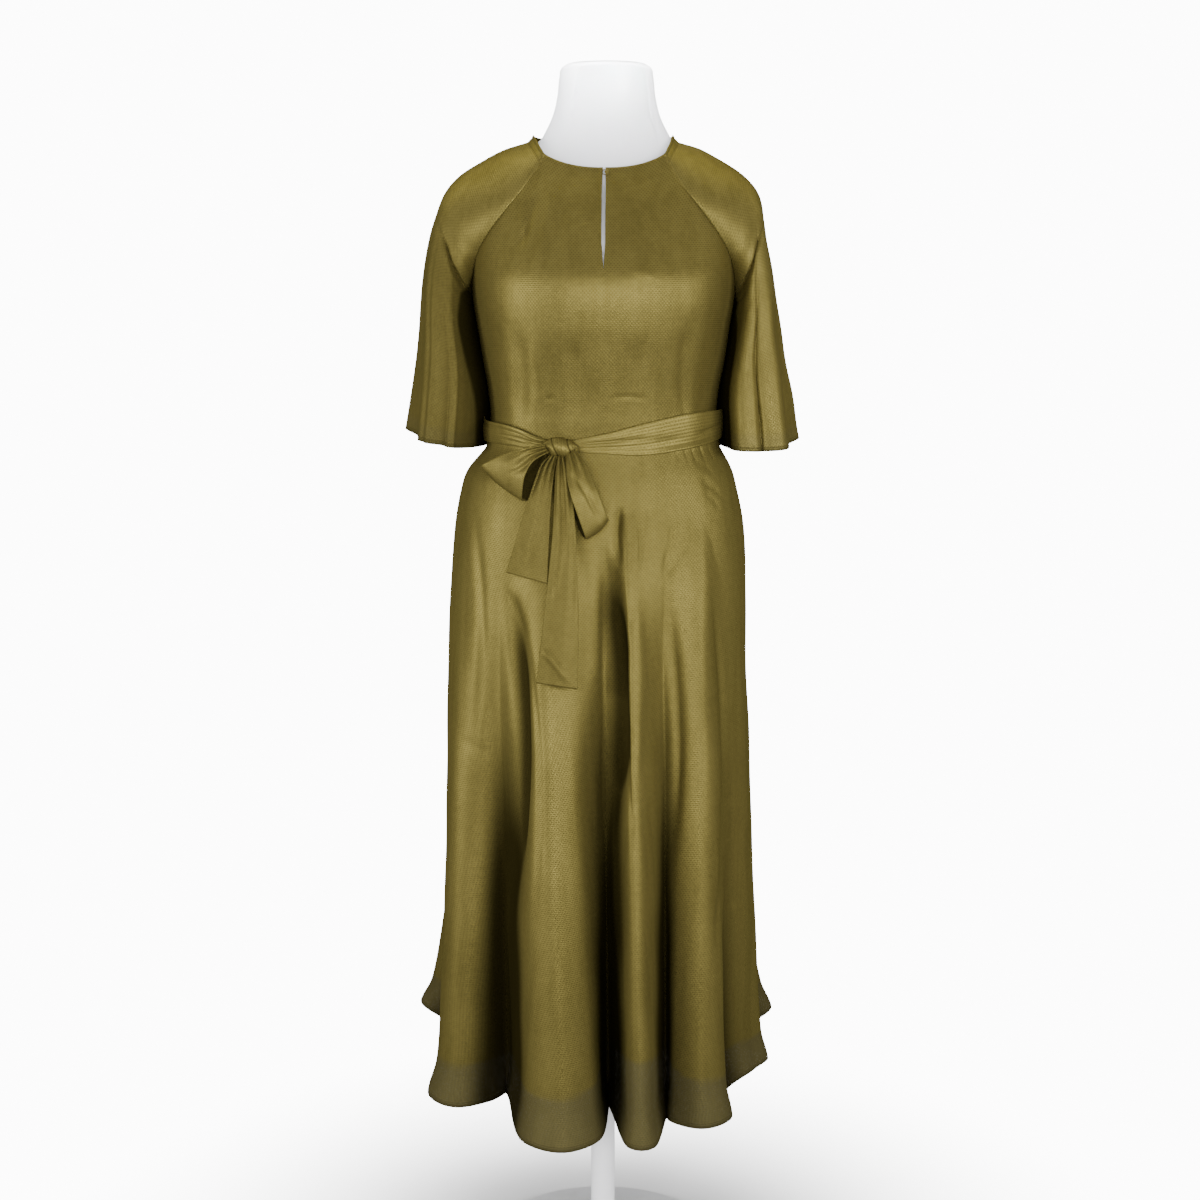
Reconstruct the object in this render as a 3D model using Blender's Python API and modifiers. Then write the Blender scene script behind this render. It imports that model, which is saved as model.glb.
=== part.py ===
# Party dress with raglan flutter sleeves and a tie sash, on a limbless dress form.
# Metres, +Z up. The origin is the centre of the base's underside, the front faces -Y,
# and left and right are as a viewer in front of the dress sees them.
import math

import bmesh
import bpy
import numpy as np

CLOTH = 0.0012              # wall of the outer cloth
SASH_CLOTH = 0.0014         # the sash is two layers pressed flat
LINING_CLOTH = 0.0010
SEAM_GAP = 0.0007           # between two cloth edges that a seam joins flat
RAGLAN_GAP = 0.0013         # the same where the two cloths meet at an angle
WAIST_SEAM = 1.083          # height of the waist seam
UNDERARM = 1.262            # height where the raglan seam meets the side seam
SLEEVE_TOP = 1.4355         # height where the sleeve's front corner meets the neck band
NECK_CORNER = 1.4455        # height where the front raglan seam reaches the neck edge
BAND_WIDTH = 0.010          # width of the band round the sides and back of the neck
BAND_RISE = 1.10            # rise of the band over its lean towards the neck
BAND_TURN = 5               # points over which its ends turn to follow the front raglan seam
BACK_NECK = 1.4650          # height of the back panel's corner at the neck band
FRONT_DIP = 0.0185          # the front neck edge is this much lower at its centre
BACK_DIP = 0.0060
SLIT_END = 1.302            # lower end of the keyhole slit
SLIT_WIDTH = 0.0050
ROUNDNESS = 2.3             # exponent of every body section: 2 is an ellipse
LINING_SHOWN = 0.095        # height of the lining that is built, up from its own hem
LINING_STEP = 0.0018        # from the outer cloth's middle in to the lining's middle
FORM_STEP = 0.0022          # from the cloth's middle in to the form's skin
POLE_RADIUS = 0.0160
BASE_RADIUS = 0.1500
BASE_HEIGHT = 0.0340
BASE_RIM = 0.0120
FORM_BOTTOM = 0.800

SEAT_GAP = 0.0003           # between two hard pieces that rest on each other

PANEL_COLUMNS = 16          # across the front or the back of the bodice
PANEL_ROWS = 6              # from the waist up to the underarm
RAGLAN_ROWS = 8             # from the underarm up to the neck, shared with the sleeves
SLEEVE_COLUMNS = 24
SLEEVE_ROWS = 6             # from the underarm down to the sleeve's hem
FOLD_COLUMNS = 12           # across each fold of the skirt
SKIRT_ROWS = 9              # from the waist down to the top of the lining that shows
ROW_SPREAD = 1.50           # above 1 the skirt's rows lie closer together at the hip
SPAN_STEPS = 16             # steps of a smooth line between two corners of the hem
SASH_COLUMNS = 56
RIBBON_COLUMNS = 4
RIBBON_ROWS_PER_SPAN = 3
FORM_COLUMNS = 32
LOOP_POINTS = 17


def table(header, *rows):
    """Turns rows of numbers into a dictionary of named columns."""
    names = header.split()
    columns = zip(*rows)
    return {name: np.array(column, dtype=float) for name, column in zip(names, columns)}


# Sections of the bodice's cloth: middle, half width, depth to the front and to the back.
BODICE = table(
    "z      cx      half    front   back",
    (1.060, 0.0000, 0.1520, 0.1200, 0.1060),
    (1.083, 0.0000, 0.1490, 0.1180, 0.1040),
    (1.122, 0.0005, 0.1440, 0.1210, 0.1030),
    (1.156, 0.0005, 0.1468, 0.1270, 0.1050),
    (1.194, 0.0008, 0.1536, 0.1360, 0.1090),
    (1.238, 0.0005, 0.1602, 0.1465, 0.1140),
    (1.265, 0.0005, 0.1645, 0.1495, 0.1160),
    (1.290, 0.0005, 0.1670, 0.1475, 0.1170),
    (1.320, 0.0000, 0.1675, 0.1360, 0.1165),
    (1.355, 0.0000, 0.1660, 0.1190, 0.1140),
    (1.390, 0.0005, 0.1620, 0.1000, 0.1060),
    (1.420, 0.0010, 0.1560, 0.0810, 0.0940),
    (1.446, 0.0015, 0.1500, 0.0660, 0.0800),
    (1.475, 0.0020, 0.1400, 0.0500, 0.0620),
)

# The raglan seams, as distances from the middle line.
RAGLAN = table(
    "z      front   back",
    (1.262, 0.1660, 0.1660),
    (1.292, 0.1645, 0.1620),
    (1.320, 0.1580, 0.1540),
    (1.345, 0.1440, 0.1430),
    (1.370, 0.1250, 0.1310),
    (1.400, 0.1010, 0.1150),
    (1.425, 0.0850, 0.1000),
    (1.446, 0.0740, 0.0850),
    (1.470, 0.0660, 0.0700),
)

# Sections of the skirt before its folds.
SKIRT = table(
    "z      cx      half    front   back",
    (0.240, -0.0060, 0.2180, 0.1500, 0.2150),
    (0.300, -0.0055, 0.2110, 0.1500, 0.2110),
    (0.413, -0.0055, 0.2060, 0.1495, 0.2020),
    (0.550, -0.0060, 0.2020, 0.1480, 0.1900),
    (0.712, -0.0070, 0.1985, 0.1470, 0.1760),
    (0.818, -0.0082, 0.1935, 0.1460, 0.1660),
    (0.897, -0.0066, 0.1910, 0.1440, 0.1560),
    (0.949, -0.0053, 0.1885, 0.1400, 0.1480),
    (1.001, -0.0046, 0.1825, 0.1350, 0.1370),
    (1.027, -0.0046, 0.1772, 0.1310, 0.1290),
    (1.053, -0.0040, 0.1700, 0.1260, 0.1190),
    (1.083, 0.0000, 0.1500, 0.1190, 0.1050),
)

# Folds of the skirt, from the left side seam round the front and the back. Each row has the
# valley before the fold and its crest, as places at the hem and as angles at the hip, then the
# crest's half width, where the fold starts, how late it opens, its hem and the lining's rise.
FOLDS = table(
    "valley_turn valley_x valley_y turn   x       y       width  start  late  hem    rise",
    (-97.0, -0.205, 0.100, -60.0, -0.207, -0.118, 0.056, 0.90, 1.5, 0.252, 0.056),
    (-37.0, -0.107, -0.112, -17.0, -0.056, -0.290, 0.046, 0.96, 1.1, 0.256, 0.060),
    (1.5, 0.001, -0.143, 11.0, 0.043, -0.281, 0.025, 1.00, 1.1, 0.258, 0.100),
    (22.5, 0.074, -0.160, 40.0, 0.128, -0.226, 0.040, 0.98, 1.1, 0.262, 0.056),
    (58.0, 0.168, -0.112, 82.0, 0.214, 0.000, 0.036, 0.80, 1.8, 0.264, 0.040),
    (102.0, 0.190, 0.098, 126.0, 0.226, 0.222, 0.034, 0.75, 1.6, 0.268, 0.050),
    (141.0, 0.156, 0.212, 157.0, 0.112, 0.318, 0.042, 0.95, 1.1, 0.262, 0.060),
    (172.0, 0.060, 0.204, 187.0, 0.002, 0.324, 0.034, 0.98, 1.1, 0.262, 0.080),
    (201.0, -0.062, 0.205, 215.0, -0.126, 0.312, 0.042, 0.95, 1.1, 0.264, 0.060),
    (229.0, -0.170, 0.216, 243.0, -0.250, 0.248, 0.040, 0.70, 1.9, 0.272, 0.050),
)
FRONT_FOLDS = 5             # the first five lie between the side seams, in front

# The right sleeve: the line over the shoulder and down its outer side, by rows from neck to hem.
SLEEVE_OUTER = table(
    "t     x       y       z",
    (0.00, 0.0930, 0.0020, 1.4665),
    (0.10, 0.1260, 0.0030, 1.4560),
    (0.20, 0.1560, 0.0040, 1.4400),
    (0.30, 0.1800, 0.0040, 1.4240),
    (0.40, 0.1950, 0.0020, 1.4040),
    (0.50, 0.2020, 0.0000, 1.3740),
    (0.60, 0.2100, 0.0000, 1.3340),
    (0.70, 0.2200, 0.0000, 1.2820),
    (0.80, 0.2300, 0.0000, 1.2240),
    (0.90, 0.2420, 0.0000, 1.1620),
    (1.00, 0.2540, 0.0000, 1.1000),
)

# Its inner line below the underarm: the free seam that hangs behind the side of the body.
SLEEVE_INNER = table(
    "t     x       y       z",
    (0.50, 0.1665, 0.0000, 1.2620),
    (0.62, 0.1590, 0.0260, 1.2200),
    (0.78, 0.1490, 0.0400, 1.1600),
    (1.00, 0.1545, 0.0500, 1.0850),
)
UNDERARM_ROW = 0.50

# How far the cloth reaches past those two lines before it turns: past the inner line at the
# front, past the outer line, and past the inner line at the back.
SLEEVE_BULGE = table(
    "t     in_x    in_y     in_z     out_x    out_y   out_z    back_y   back_z",
    (0.00, 0.0040, 0.0040, 0.0100, 0.0000, 0.0300, -0.0020, -0.0020, 0.0035),
    (0.15, 0.0120, 0.0070, 0.0180, 0.0020, 0.0400, -0.0060, -0.0030, 0.0060),
    (0.30, 0.0160, 0.0060, 0.0230, 0.0060, 0.0500, -0.0120, -0.0020, 0.0060),
    (0.45, 0.0140, -0.0220, 0.0200, 0.0060, 0.0600, -0.0160, 0.0180, -0.0040),
    (0.60, 0.0060, -0.0800, 0.0100, 0.0000, 0.0760, -0.0160, 0.0360, -0.0040),
    (0.80, 0.0140, -0.1280, -0.0020, -0.0180, 0.0960, -0.0180, 0.0580, -0.0020),
    (1.00, 0.0160, -0.1520, -0.0040, -0.0380, 0.1180, -0.0200, 0.0680, -0.0030),
)

# Soft folds of the sleeve: place round it from the inner line by the front, half width there,
# depth outwards at the hem, and the row where it starts.
SLEEVE_FOLDS = table(
    "place  width  depth   start",
    (0.17, 0.055, 0.0100, 0.40),
    (0.27, 0.050, -0.0110, 0.22),
    (0.36, 0.050, 0.0090, 0.35),
    (0.44, 0.040, -0.0060, 0.50),
    (0.60, 0.060, -0.0100, 0.40),
    (0.70, 0.055, 0.0110, 0.35),
    (0.80, 0.050, -0.0090, 0.45),
)
LEFT_SLEEVE_DROP = 0.006    # the left sleeve hangs this much higher at its outer corner

# The sash round the waist: angle from the front, height of its middle line and its width.
SASH = table(
    "turn    z       width",
    (-180.0, 1.1160, 0.0400),
    (-130.0, 1.1140, 0.0360),
    (-80.0, 1.1060, 0.0270),
    (-42.0, 1.0990, 0.0220),
    (-27.0, 1.0910, 0.0150),
    (-18.0, 1.0885, 0.0120),
    (-9.0, 1.0900, 0.0160),
    (15.0, 1.1000, 0.0320),
    (36.0, 1.1080, 0.0370),
    (78.0, 1.1140, 0.0360),
    (130.0, 1.1150, 0.0380),
    (180.0, 1.1160, 0.0400),
)
SASH_STEP = 0.0021          # from the waist's cloth out to the sash's middle
KNOT = (-0.0520, -0.1302, 1.0880)
KNOT_HALF = (0.0225, 0.0115, 0.0110)
LOOP_STEP = 0.0013          # from the knot's surface to the middle of a loop's end
TAIL_STEP = 0.0004          # and of a tail's end, whose edge points at the knot

# Ribbons of the bow by rows from the knot: the two edges of the ribbon at each row.
LOOP_LEFT = table(
    "ax      ay      az      bx      by      bz",
    (-0.0745, -0.1390, 1.0925, -0.0700, -0.1420, 1.0820),
    (-0.0960, -0.1480, 1.0880, -0.0800, -0.1530, 1.0640),
    (-0.1230, -0.1520, 1.0800, -0.0920, -0.1590, 1.0450),
    (-0.1440, -0.1460, 1.0700, -0.0985, -0.1550, 1.0300),
    (-0.1490, -0.1380, 1.0660, -0.0970, -0.1470, 1.0250),
    (-0.1430, -0.1320, 1.0700, -0.0860, -0.1400, 1.0290),
    (-0.1160, -0.1300, 1.0800, -0.0740, -0.1360, 1.0500),
    (-0.0760, -0.1290, 1.0890, -0.0700, -0.1330, 1.0770),
)
LOOP_RIGHT = table(
    "ax      ay      az      bx      by      bz",
    (-0.0290, -0.1400, 1.0880, -0.0420, -0.1440, 1.0775),
    (-0.0190, -0.1520, 1.0660, -0.0440, -0.1580, 1.0560),
    (-0.0070, -0.1600, 1.0380, -0.0370, -0.1680, 1.0260),
    (0.0040, -0.1580, 1.0080, -0.0230, -0.1660, 0.9860),
    (0.0060, -0.1500, 1.0020, -0.0220, -0.1570, 0.9800),
    (0.0010, -0.1450, 1.0080, -0.0300, -0.1500, 0.9920),
    (-0.0160, -0.1400, 1.0430, -0.0420, -0.1450, 1.0320),
    (-0.0310, -0.1320, 1.0780, -0.0440, -0.1370, 1.0745),
)
TAIL_SHORT = table(
    "ax      ay      az      bx      by      bz",
    (-0.0680, -0.1370, 1.0775, -0.0580, -0.1400, 1.0760),
    (-0.0780, -0.1440, 1.0620, -0.0600, -0.1500, 1.0560),
    (-0.0900, -0.1500, 1.0300, -0.0630, -0.1580, 1.0220),
    (-0.1040, -0.1540, 0.9850, -0.0655, -0.1620, 0.9750),
    (-0.1180, -0.1580, 0.9380, -0.0670, -0.1660, 0.9250),
)
TAIL_LONG = table(
    "ax      ay      az      bx      by      bz",
    (-0.0565, -0.1400, 1.0760, -0.0460, -0.1400, 1.0760),
    (-0.0580, -0.1560, 1.0500, -0.0400, -0.1580, 1.0480),
    (-0.0610, -0.1640, 0.9900, -0.0330, -0.1680, 0.9880),
    (-0.0690, -0.1700, 0.9100, -0.0300, -0.1760, 0.9060),
    (-0.0760, -0.1760, 0.8500, -0.0300, -0.1840, 0.8450),
    (-0.0810, -0.1800, 0.8060, -0.0310, -0.1900, 0.8000),
)

# Sections of the form below and above the stretch that follows the bodice.
FORM_LOWER = table(
    "z      cx     half    front   back",
    (0.800, -0.004, 0.1280, 0.0900, 0.0950),
    (0.815, -0.004, 0.1500, 0.1080, 0.1130),
    (0.850, -0.004, 0.1680, 0.1230, 0.1280),
    (0.900, -0.004, 0.1760, 0.1300, 0.1330),
    (0.950, -0.003, 0.1730, 0.1270, 0.1270),
    (1.000, -0.002, 0.1640, 0.1190, 0.1180),
    (1.050, -0.001, 0.1510, 0.1120, 0.1070),
    (1.083, 0.000, 0.1420, 0.1080, 0.1000),
)
FORM_UPPER = table(
    "z      cx     half    front   back",
    (1.290, 0.001, 0.1590, 0.1445, 0.1110),
    (1.325, 0.001, 0.1570, 0.1285, 0.1090),
    (1.360, 0.001, 0.1600, 0.1080, 0.1040),
    (1.385, 0.001, 0.1670, 0.0920, 0.0950),
    (1.403, 0.001, 0.1690, 0.0800, 0.0840),
    (1.418, 0.001, 0.1640, 0.0700, 0.0750),
    (1.432, 0.001, 0.1450, 0.0635, 0.0690),
    (1.445, 0.002, 0.1210, 0.0585, 0.0650),
    (1.456, 0.003, 0.0990, 0.0560, 0.0620),
    (1.467, 0.004, 0.0840, 0.0545, 0.0600),
    (1.479, 0.004, 0.0765, 0.0535, 0.0580),
    (1.494, 0.004, 0.0690, 0.0525, 0.0565),
    (1.520, 0.004, 0.0620, 0.0510, 0.0540),
    (1.548, 0.004, 0.0585, 0.0500, 0.0520),
    (1.556, 0.004, 0.0565, 0.0480, 0.0500),
    (1.560, 0.004, 0.0500, 0.0420, 0.0440),
)

MITRE_LIMIT = 0.15          # keeps the lining's step short where a valley is sharp
SHOULDER_BACK = 0.75        # how far behind its crest a fold is at its widest, in half widths

BUTTON_RADIUS = 0.0030
BUTTON_HEIGHT = 0.0026
BUTTON_PLACE = (0.0046, 1.4205)     # across and up
LOOP_THICK = 0.0005
LOOP_STRETCH = 0.0035       # how far the loop reaches back across the slit
REST_GAP = 0.0007           # under a small piece that lies on the cloth

OLIVE = (0.235, 0.185, 0.040)
LINING_OLIVE = (0.150, 0.120, 0.030)
WHITE = (0.82, 0.82, 0.84)


def read(source, column, by, value):
    """Reads one column of a table at a value of another, on a smooth curve."""
    x = source[by]
    y = source[column]
    slope = np.gradient(y, x)
    value = np.asarray(value, dtype=float)
    k = np.clip(np.searchsorted(x, value) - 1, 0, len(x) - 2)
    step = x[k + 1] - x[k]
    t = np.clip((value - x[k]) / step, 0.0, 1.0)
    start = (1 + 2 * t) * (1 - t) ** 2 * y[k] + t * (1 - t) ** 2 * step * slope[k]
    end = t * t * (3 - 2 * t) * y[k + 1] - t * t * (1 - t) * step * slope[k + 1]
    return start + end


def ease(t):
    t = np.clip(t, 0.0, 1.0)
    return t * t * (3 - 2 * t)


def unit(vector):
    return vector / np.maximum(np.linalg.norm(vector, axis=-1, keepdims=True), 1e-9)


def around(sections, angle, z, inset=0.0):
    """A point of a body section: the angle runs from the front towards +X."""
    angle, z = np.broadcast_arrays(np.asarray(angle, float), np.asarray(z, float))
    half = read(sections, "half", "z", z) - inset
    front = read(sections, "front", "z", z) - inset
    back = read(sections, "back", "z", z) - inset
    sine = np.sin(angle)
    cosine = np.cos(angle)
    power = 2.0 / ROUNDNESS
    x = read(sections, "cx", "z", z) + half * np.sign(sine) * np.abs(sine) ** power
    depth = np.where(cosine > 0, front, back)
    y = -depth * np.sign(cosine) * np.abs(cosine) ** power
    return np.stack([x, y, z], axis=-1)


def raglan_angle(z, face):
    """The angle at which a raglan seam crosses the bodice's section at this height."""
    reach = read(RAGLAN, face, "z", z) / read(BODICE, "half", "z", z)
    reach = np.where(np.asarray(z) <= UNDERARM, 1.0, np.minimum(reach, 1.0))
    return np.arcsin(reach ** (ROUNDNESS / 2))


def make_material(name, colour, roughness):
    material = bpy.data.materials.new(name)
    material.use_nodes = True
    shader = material.node_tree.nodes["Principled BSDF"]
    shader.inputs["Base Color"].default_value = (*colour, 1.0)
    shader.inputs["Roughness"].default_value = roughness
    shader.inputs["Metallic"].default_value = 0.0
    return material


def finish(name, mesh, collection, colour, roughness):
    """Puts a mesh into the collection as a named object with its own material."""
    thing = bpy.data.objects.new(name, mesh)
    collection.objects.link(thing)
    mesh.materials.append(make_material(name, colour, roughness))
    return thing


def bent_grid(points):
    """A grid of triangles whose corners are moved to the rows and columns of points."""
    rows, columns = points.shape[:2]
    sheet = bmesh.new()
    bmesh.ops.create_grid(sheet, x_segments=columns - 1, y_segments=rows - 1, size=1.0)
    for corner in sheet.verts:
        column = round((corner.co.x + 1) / 2 * (columns - 1))
        row = round((corner.co.y + 1) / 2 * (rows - 1))
        corner.co = points[row, column]
    bmesh.ops.triangulate(sheet, faces=sheet.faces, quad_method="FIXED")
    bmesh.ops.remove_doubles(sheet, verts=sheet.verts, dist=1e-6)
    return sheet


def cloth(name, points, wall, collection, colour, roughness=0.45):
    """A cloth wall with the given middle surface."""
    sheet = bent_grid(points)
    mesh = bpy.data.meshes.new(name)
    sheet.to_mesh(mesh)
    sheet.free()
    mesh.shade_smooth()
    thing = finish(name, mesh, collection, colour, roughness)
    solid = thing.modifiers.new("wall", "SOLIDIFY")
    solid.thickness = wall
    solid.offset = 0.0
    return thing


def between(start, end, count):
    return start + (end - start) * np.linspace(0.0, 1.0, count)


# ---- bodice

def raglan_heights(face):
    """The rows along a raglan seam that the panel and the sleeve share, from below."""
    return between(UNDERARM, SLEEVE_TOP if face == "front" else BACK_NECK, RAGLAN_ROWS)


def panel(face):
    """Points of the front or back panel, from the waist seam up to the neck."""
    front = face == "front"
    top = NECK_CORNER if front else BACK_NECK
    lower = between(WAIST_SEAM + SEAM_GAP / 2, UNDERARM, PANEL_ROWS)[:-1]
    heights = np.concatenate([lower, raglan_heights(face), [NECK_CORNER] if front else []])
    across = between(-1.0, 1.0, PANEL_COLUMNS + 1)
    rows = []
    for height in heights:
        rise = ease((height - UNDERARM) / (top - UNDERARM))
        dip = (FRONT_DIP if front else BACK_DIP) * rise * rise
        z = height - dip * (1 - across ** 2)
        angle = across * raglan_angle(height, face)
        if not front:
            angle = math.pi - angle
        row = around(BODICE, angle, z)
        limit = SEAM_GAP / 2
        row[:, 1] = np.minimum(row[:, 1], -limit) if front else np.maximum(row[:, 1], limit)
        rows.append(row)
    return np.array(rows)


def slit_half_width(z):
    """The keyhole slit is a long lens, open at the top and pointed below."""
    height = (z - SLIT_END) / (NECK_CORNER - FRONT_DIP - SLIT_END)
    if height <= 0.01:
        return 0.0
    return SLIT_WIDTH / 2 * min(1.0, 2.2 * height) * (1.0 - 0.45 * max(0.0, height - 0.75) / 0.25)


def make_bodice_front(collection, colour):
    points = panel("front")
    middle = PANEL_COLUMNS // 2
    halves = []
    for side in (-1, 1):
        half = points[:, :middle + 1].copy() if side < 0 else points[:, middle:].copy()
        edge = -1 if side < 0 else 0
        for row in half:
            row[edge, 0] += side * slit_half_width(row[edge, 2])
        halves.append(half)
    sheet = bent_grid(halves[0])
    other = bent_grid(halves[1])
    joined = bpy.data.meshes.new("bodice_front")
    other.to_mesh(joined)
    other.free()
    sheet.from_mesh(joined)
    bmesh.ops.remove_doubles(sheet, verts=sheet.verts, dist=1e-6)
    sheet.to_mesh(joined)
    sheet.free()
    joined.shade_smooth()
    thing = finish("bodice_front", joined, collection, colour, 0.45)
    solid = thing.modifiers.new("wall", "SOLIDIFY")
    solid.thickness = CLOTH
    solid.offset = 0.0
    return thing


# ---- sleeves

def raglan_point(z, face):
    """A point of the right raglan seam, just outside the panel's edge."""
    point = around(BODICE, raglan_angle(z, face), z)
    if face == "back":
        point[1] = around(BODICE, math.pi - raglan_angle(z, face), z)[1]
    point[0] += RAGLAN_GAP
    return point


def bezier(a, b, c, d, t):
    t = t[:, None]
    return a * (1 - t) ** 3 + 3 * b * t * (1 - t) ** 2 + 3 * c * t * t * (1 - t) + d * t ** 3


def from_table(source, names, t):
    return np.array([float(read(source, name, "t", t)) for name in names])


def sleeve_row(step):
    """One line round the right sleeve, from its inner line by the front to it again."""
    last = RAGLAN_ROWS - 1
    if step < last:
        t = UNDERARM_ROW * step / last
        front_edge = raglan_point(raglan_heights("front")[last - step], "front")
        back_edge = raglan_point(raglan_heights("back")[last - step], "back")
    else:
        t = UNDERARM_ROW + (1 - UNDERARM_ROW) * (step - last) / SLEEVE_ROWS
        front_edge = back_edge = from_table(SLEEVE_INNER, "x y z".split(), t)
    outer = from_table(SLEEVE_OUTER, "x y z".split(), t)
    turn_in = from_table(SLEEVE_BULGE, "in_x in_y in_z".split(), t)
    turn_out = from_table(SLEEVE_BULGE, "out_x out_y out_z".split(), t)
    turn_back = from_table(SLEEVE_BULGE, "in_x back_y back_z".split(), t)
    forward = np.array([1.0, -1.0, 1.0])
    along = between(0.0, 1.0, SLEEVE_COLUMNS // 2 + 1)
    front = bezier(front_edge, front_edge + turn_in, outer + turn_out * forward, outer, along)
    back = bezier(outer, outer + turn_out, back_edge + turn_back, back_edge, along)
    return t, np.concatenate([front, back[1:]])


def sleeve(side, lift):
    """Points of a sleeve: rows run from the neck to the hem, and columns round it."""
    rows = []
    place = between(0.0, 1.0, SLEEVE_COLUMNS + 1)
    for step in range(RAGLAN_ROWS + SLEEVE_ROWS):
        t, row = sleeve_row(step)
        ahead = np.roll(row, -1, axis=0)
        behind = np.roll(row, 1, axis=0)
        ahead[-1] = row[-1] if t < UNDERARM_ROW else row[1]
        behind[0] = row[0] if t < UNDERARM_ROW else row[-2]
        run = ahead - behind
        outward = unit(np.stack([-run[:, 1], run[:, 0], 0 * place], axis=-1))
        push = 0 * place
        for c, w, d, s in zip(*(SLEEVE_FOLDS[k] for k in "place width depth start".split())):
            grown = float(ease((t - s) / (1 - s)))
            push = push + d * grown * np.exp(-((place - c) / w) ** 2)
        row = row - outward * push[:, None]
        row[:, 2] += lift * t ** 3 * np.sin(math.pi * place) ** 2
        if t >= UNDERARM_ROW - 1e-6:
            row[-1] = row[0]
        row[:, 0] *= side
        rows.append(row)
    return np.array(rows)


def neck_band():
    """Points of the band from one front raglan seam round the back to the other."""
    right = sleeve_row(0)[1][::-1]
    mirror = np.array([-1.0, 1.0, 1.0])
    back = panel("back")[-1]
    path = np.concatenate([right[::-1] * mirror, back[1:-1], right])
    radial = unit(path * np.array([1.0, 1.0, 0.0]))
    lean = unit(np.array([0.0, 0.0, BAND_RISE]) - radial)
    seam = raglan_point(NECK_CORNER, "front") - raglan_point(SLEEVE_TOP, "front")
    count = len(path)
    for k in range(BAND_TURN):
        share = ease(1 - k / BAND_TURN)
        for place, ends in ((k, mirror), (count - 1 - k, 1.0)):
            lean[place] = unit(lean[place] * (1 - share) + unit(seam) * ends * share)
    rows = [path + lean * step for step in (RAGLAN_GAP, BAND_WIDTH)]
    return np.array(rows)


# ---- skirt

def fold_loop():
    """The hem as one folded line, with what each of its points takes from the table."""
    count = len(FOLDS["x"])
    valley = np.stack([FOLDS["valley_x"], FOLDS["valley_y"]], axis=-1)
    crest = np.stack([FOLDS["x"], FOLDS["y"]], axis=-1)
    width = FOLDS["width"][:, None]
    out = unit(crest - (valley + np.roll(valley, -1, axis=0)) / 2)
    along = np.stack([-out[:, 1], out[:, 0]], axis=-1)
    first = crest - SHOULDER_BACK * width * out - width * along
    second = crest - SHOULDER_BACK * width * out + width * along
    corners = np.stack([valley, first, crest, second], axis=1).reshape(-1, 2)
    spots = []
    settings = []
    for fold in range(count):
        line = []
        crest_at = 0
        for span in range(4):
            k = 4 * fold + span
            line.append(rounded_span(corners, k))
            if span == 1:
                crest_at = sum(len(piece) for piece in line)
        line = np.concatenate(line + [corners[(4 * fold + 4) % len(corners)][None]])
        run = np.concatenate([[0], np.cumsum(np.linalg.norm(np.diff(line, axis=0), axis=-1))])
        wanted = between(0.0, run[-1], FOLD_COLUMNS + 1)[:-1]
        spots.append(np.stack([np.interp(wanted, run, line[:, k]) for k in (0, 1)], axis=-1))
        stops = [0.0, run[crest_at], run[-1]]
        follow = (fold + 1) % count
        ahead = 360.0 if follow == 0 else 0.0
        turns = [FOLDS["valley_turn"][fold], FOLDS["turn"][fold], FOLDS["valley_turn"][follow] + ahead]
        columns = [np.interp(wanted, stops, turns)]
        for name in ("start", "late", "hem", "rise"):
            here = FOLDS[name][fold]
            before = (FOLDS[name][fold - 1] + here) / 2
            after = (FOLDS[name][follow] + here) / 2
            share = np.interp(wanted, stops, [-1.0, 0.0, 1.0])
            value = here + np.where(share < 0, before - here, after - here) * ease(np.abs(share))
            columns.append(value)
        settings.append(np.stack(columns, axis=-1))
    return np.concatenate(spots), np.concatenate(settings)


def rounded_span(corners, k):
    """Points on a smooth curve from one corner of a loop to the next."""
    p = [corners[(k + shift) % len(corners)] for shift in (-1, 0, 1, 2)]
    knots = [0.0]
    for a, b in zip(p, p[1:]):
        knots.append(knots[-1] + max(float(np.linalg.norm(b - a)), 1e-6) ** 0.5)
    t = np.linspace(knots[1], knots[2], SPAN_STEPS, endpoint=False)[:, None]

    def mix(a, b, lower, upper):
        return a * (upper - t) / (upper - lower) + b * (t - lower) / (upper - lower)

    a1 = mix(p[0], p[1], knots[0], knots[1])
    a2 = mix(p[1], p[2], knots[1], knots[2])
    a3 = mix(p[2], p[3], knots[2], knots[3])
    b1 = mix(a1, a2, knots[0], knots[2])
    b2 = mix(a2, a3, knots[1], knots[3])
    return mix(b1, b2, knots[1], knots[2])


def skirt_point(spots, settings, z):
    """The skirt's surface at a height for each column: a plain section, opened into folds."""
    turn, start, late, hem = settings[:, :4].T
    angle = np.radians(turn)
    plain = around(SKIRT, angle, z)
    at_hem = around(SKIRT, angle, hem)
    opened = np.clip((start - z) / (start - hem), 0.0, 1.05) ** late
    plain[:, :2] += opened[:, None] * (spots - at_hem[:, :2])
    return plain


def close_loop(points):
    return np.concatenate([points, points[:, :1]], axis=1)


def skirt():
    """Rows of points from the waist seam to the hem, round the whole skirt."""
    spots, settings = fold_loop()
    top = WAIST_SEAM - SEAM_GAP / 2
    hem = settings[:, 3]
    edge = hem + settings[:, 4]
    shown = edge + LINING_SHOWN
    parts = between(0.0, 1.0, SKIRT_ROWS) ** ROW_SPREAD
    heights = [top + (shown - top) * part for part in parts] + [edge, hem]
    return close_loop(np.array([skirt_point(spots, settings, z) for z in heights]))


def parted(points):
    """Draws the first and last columns in by half a seam's gap."""
    drawn = points.copy()
    for edge, inner in ((0, 1), (-1, -2)):
        step = points[:, inner] - points[:, edge]
        drawn[:, edge] += unit(step) * SEAM_GAP / 2
    return drawn


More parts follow.
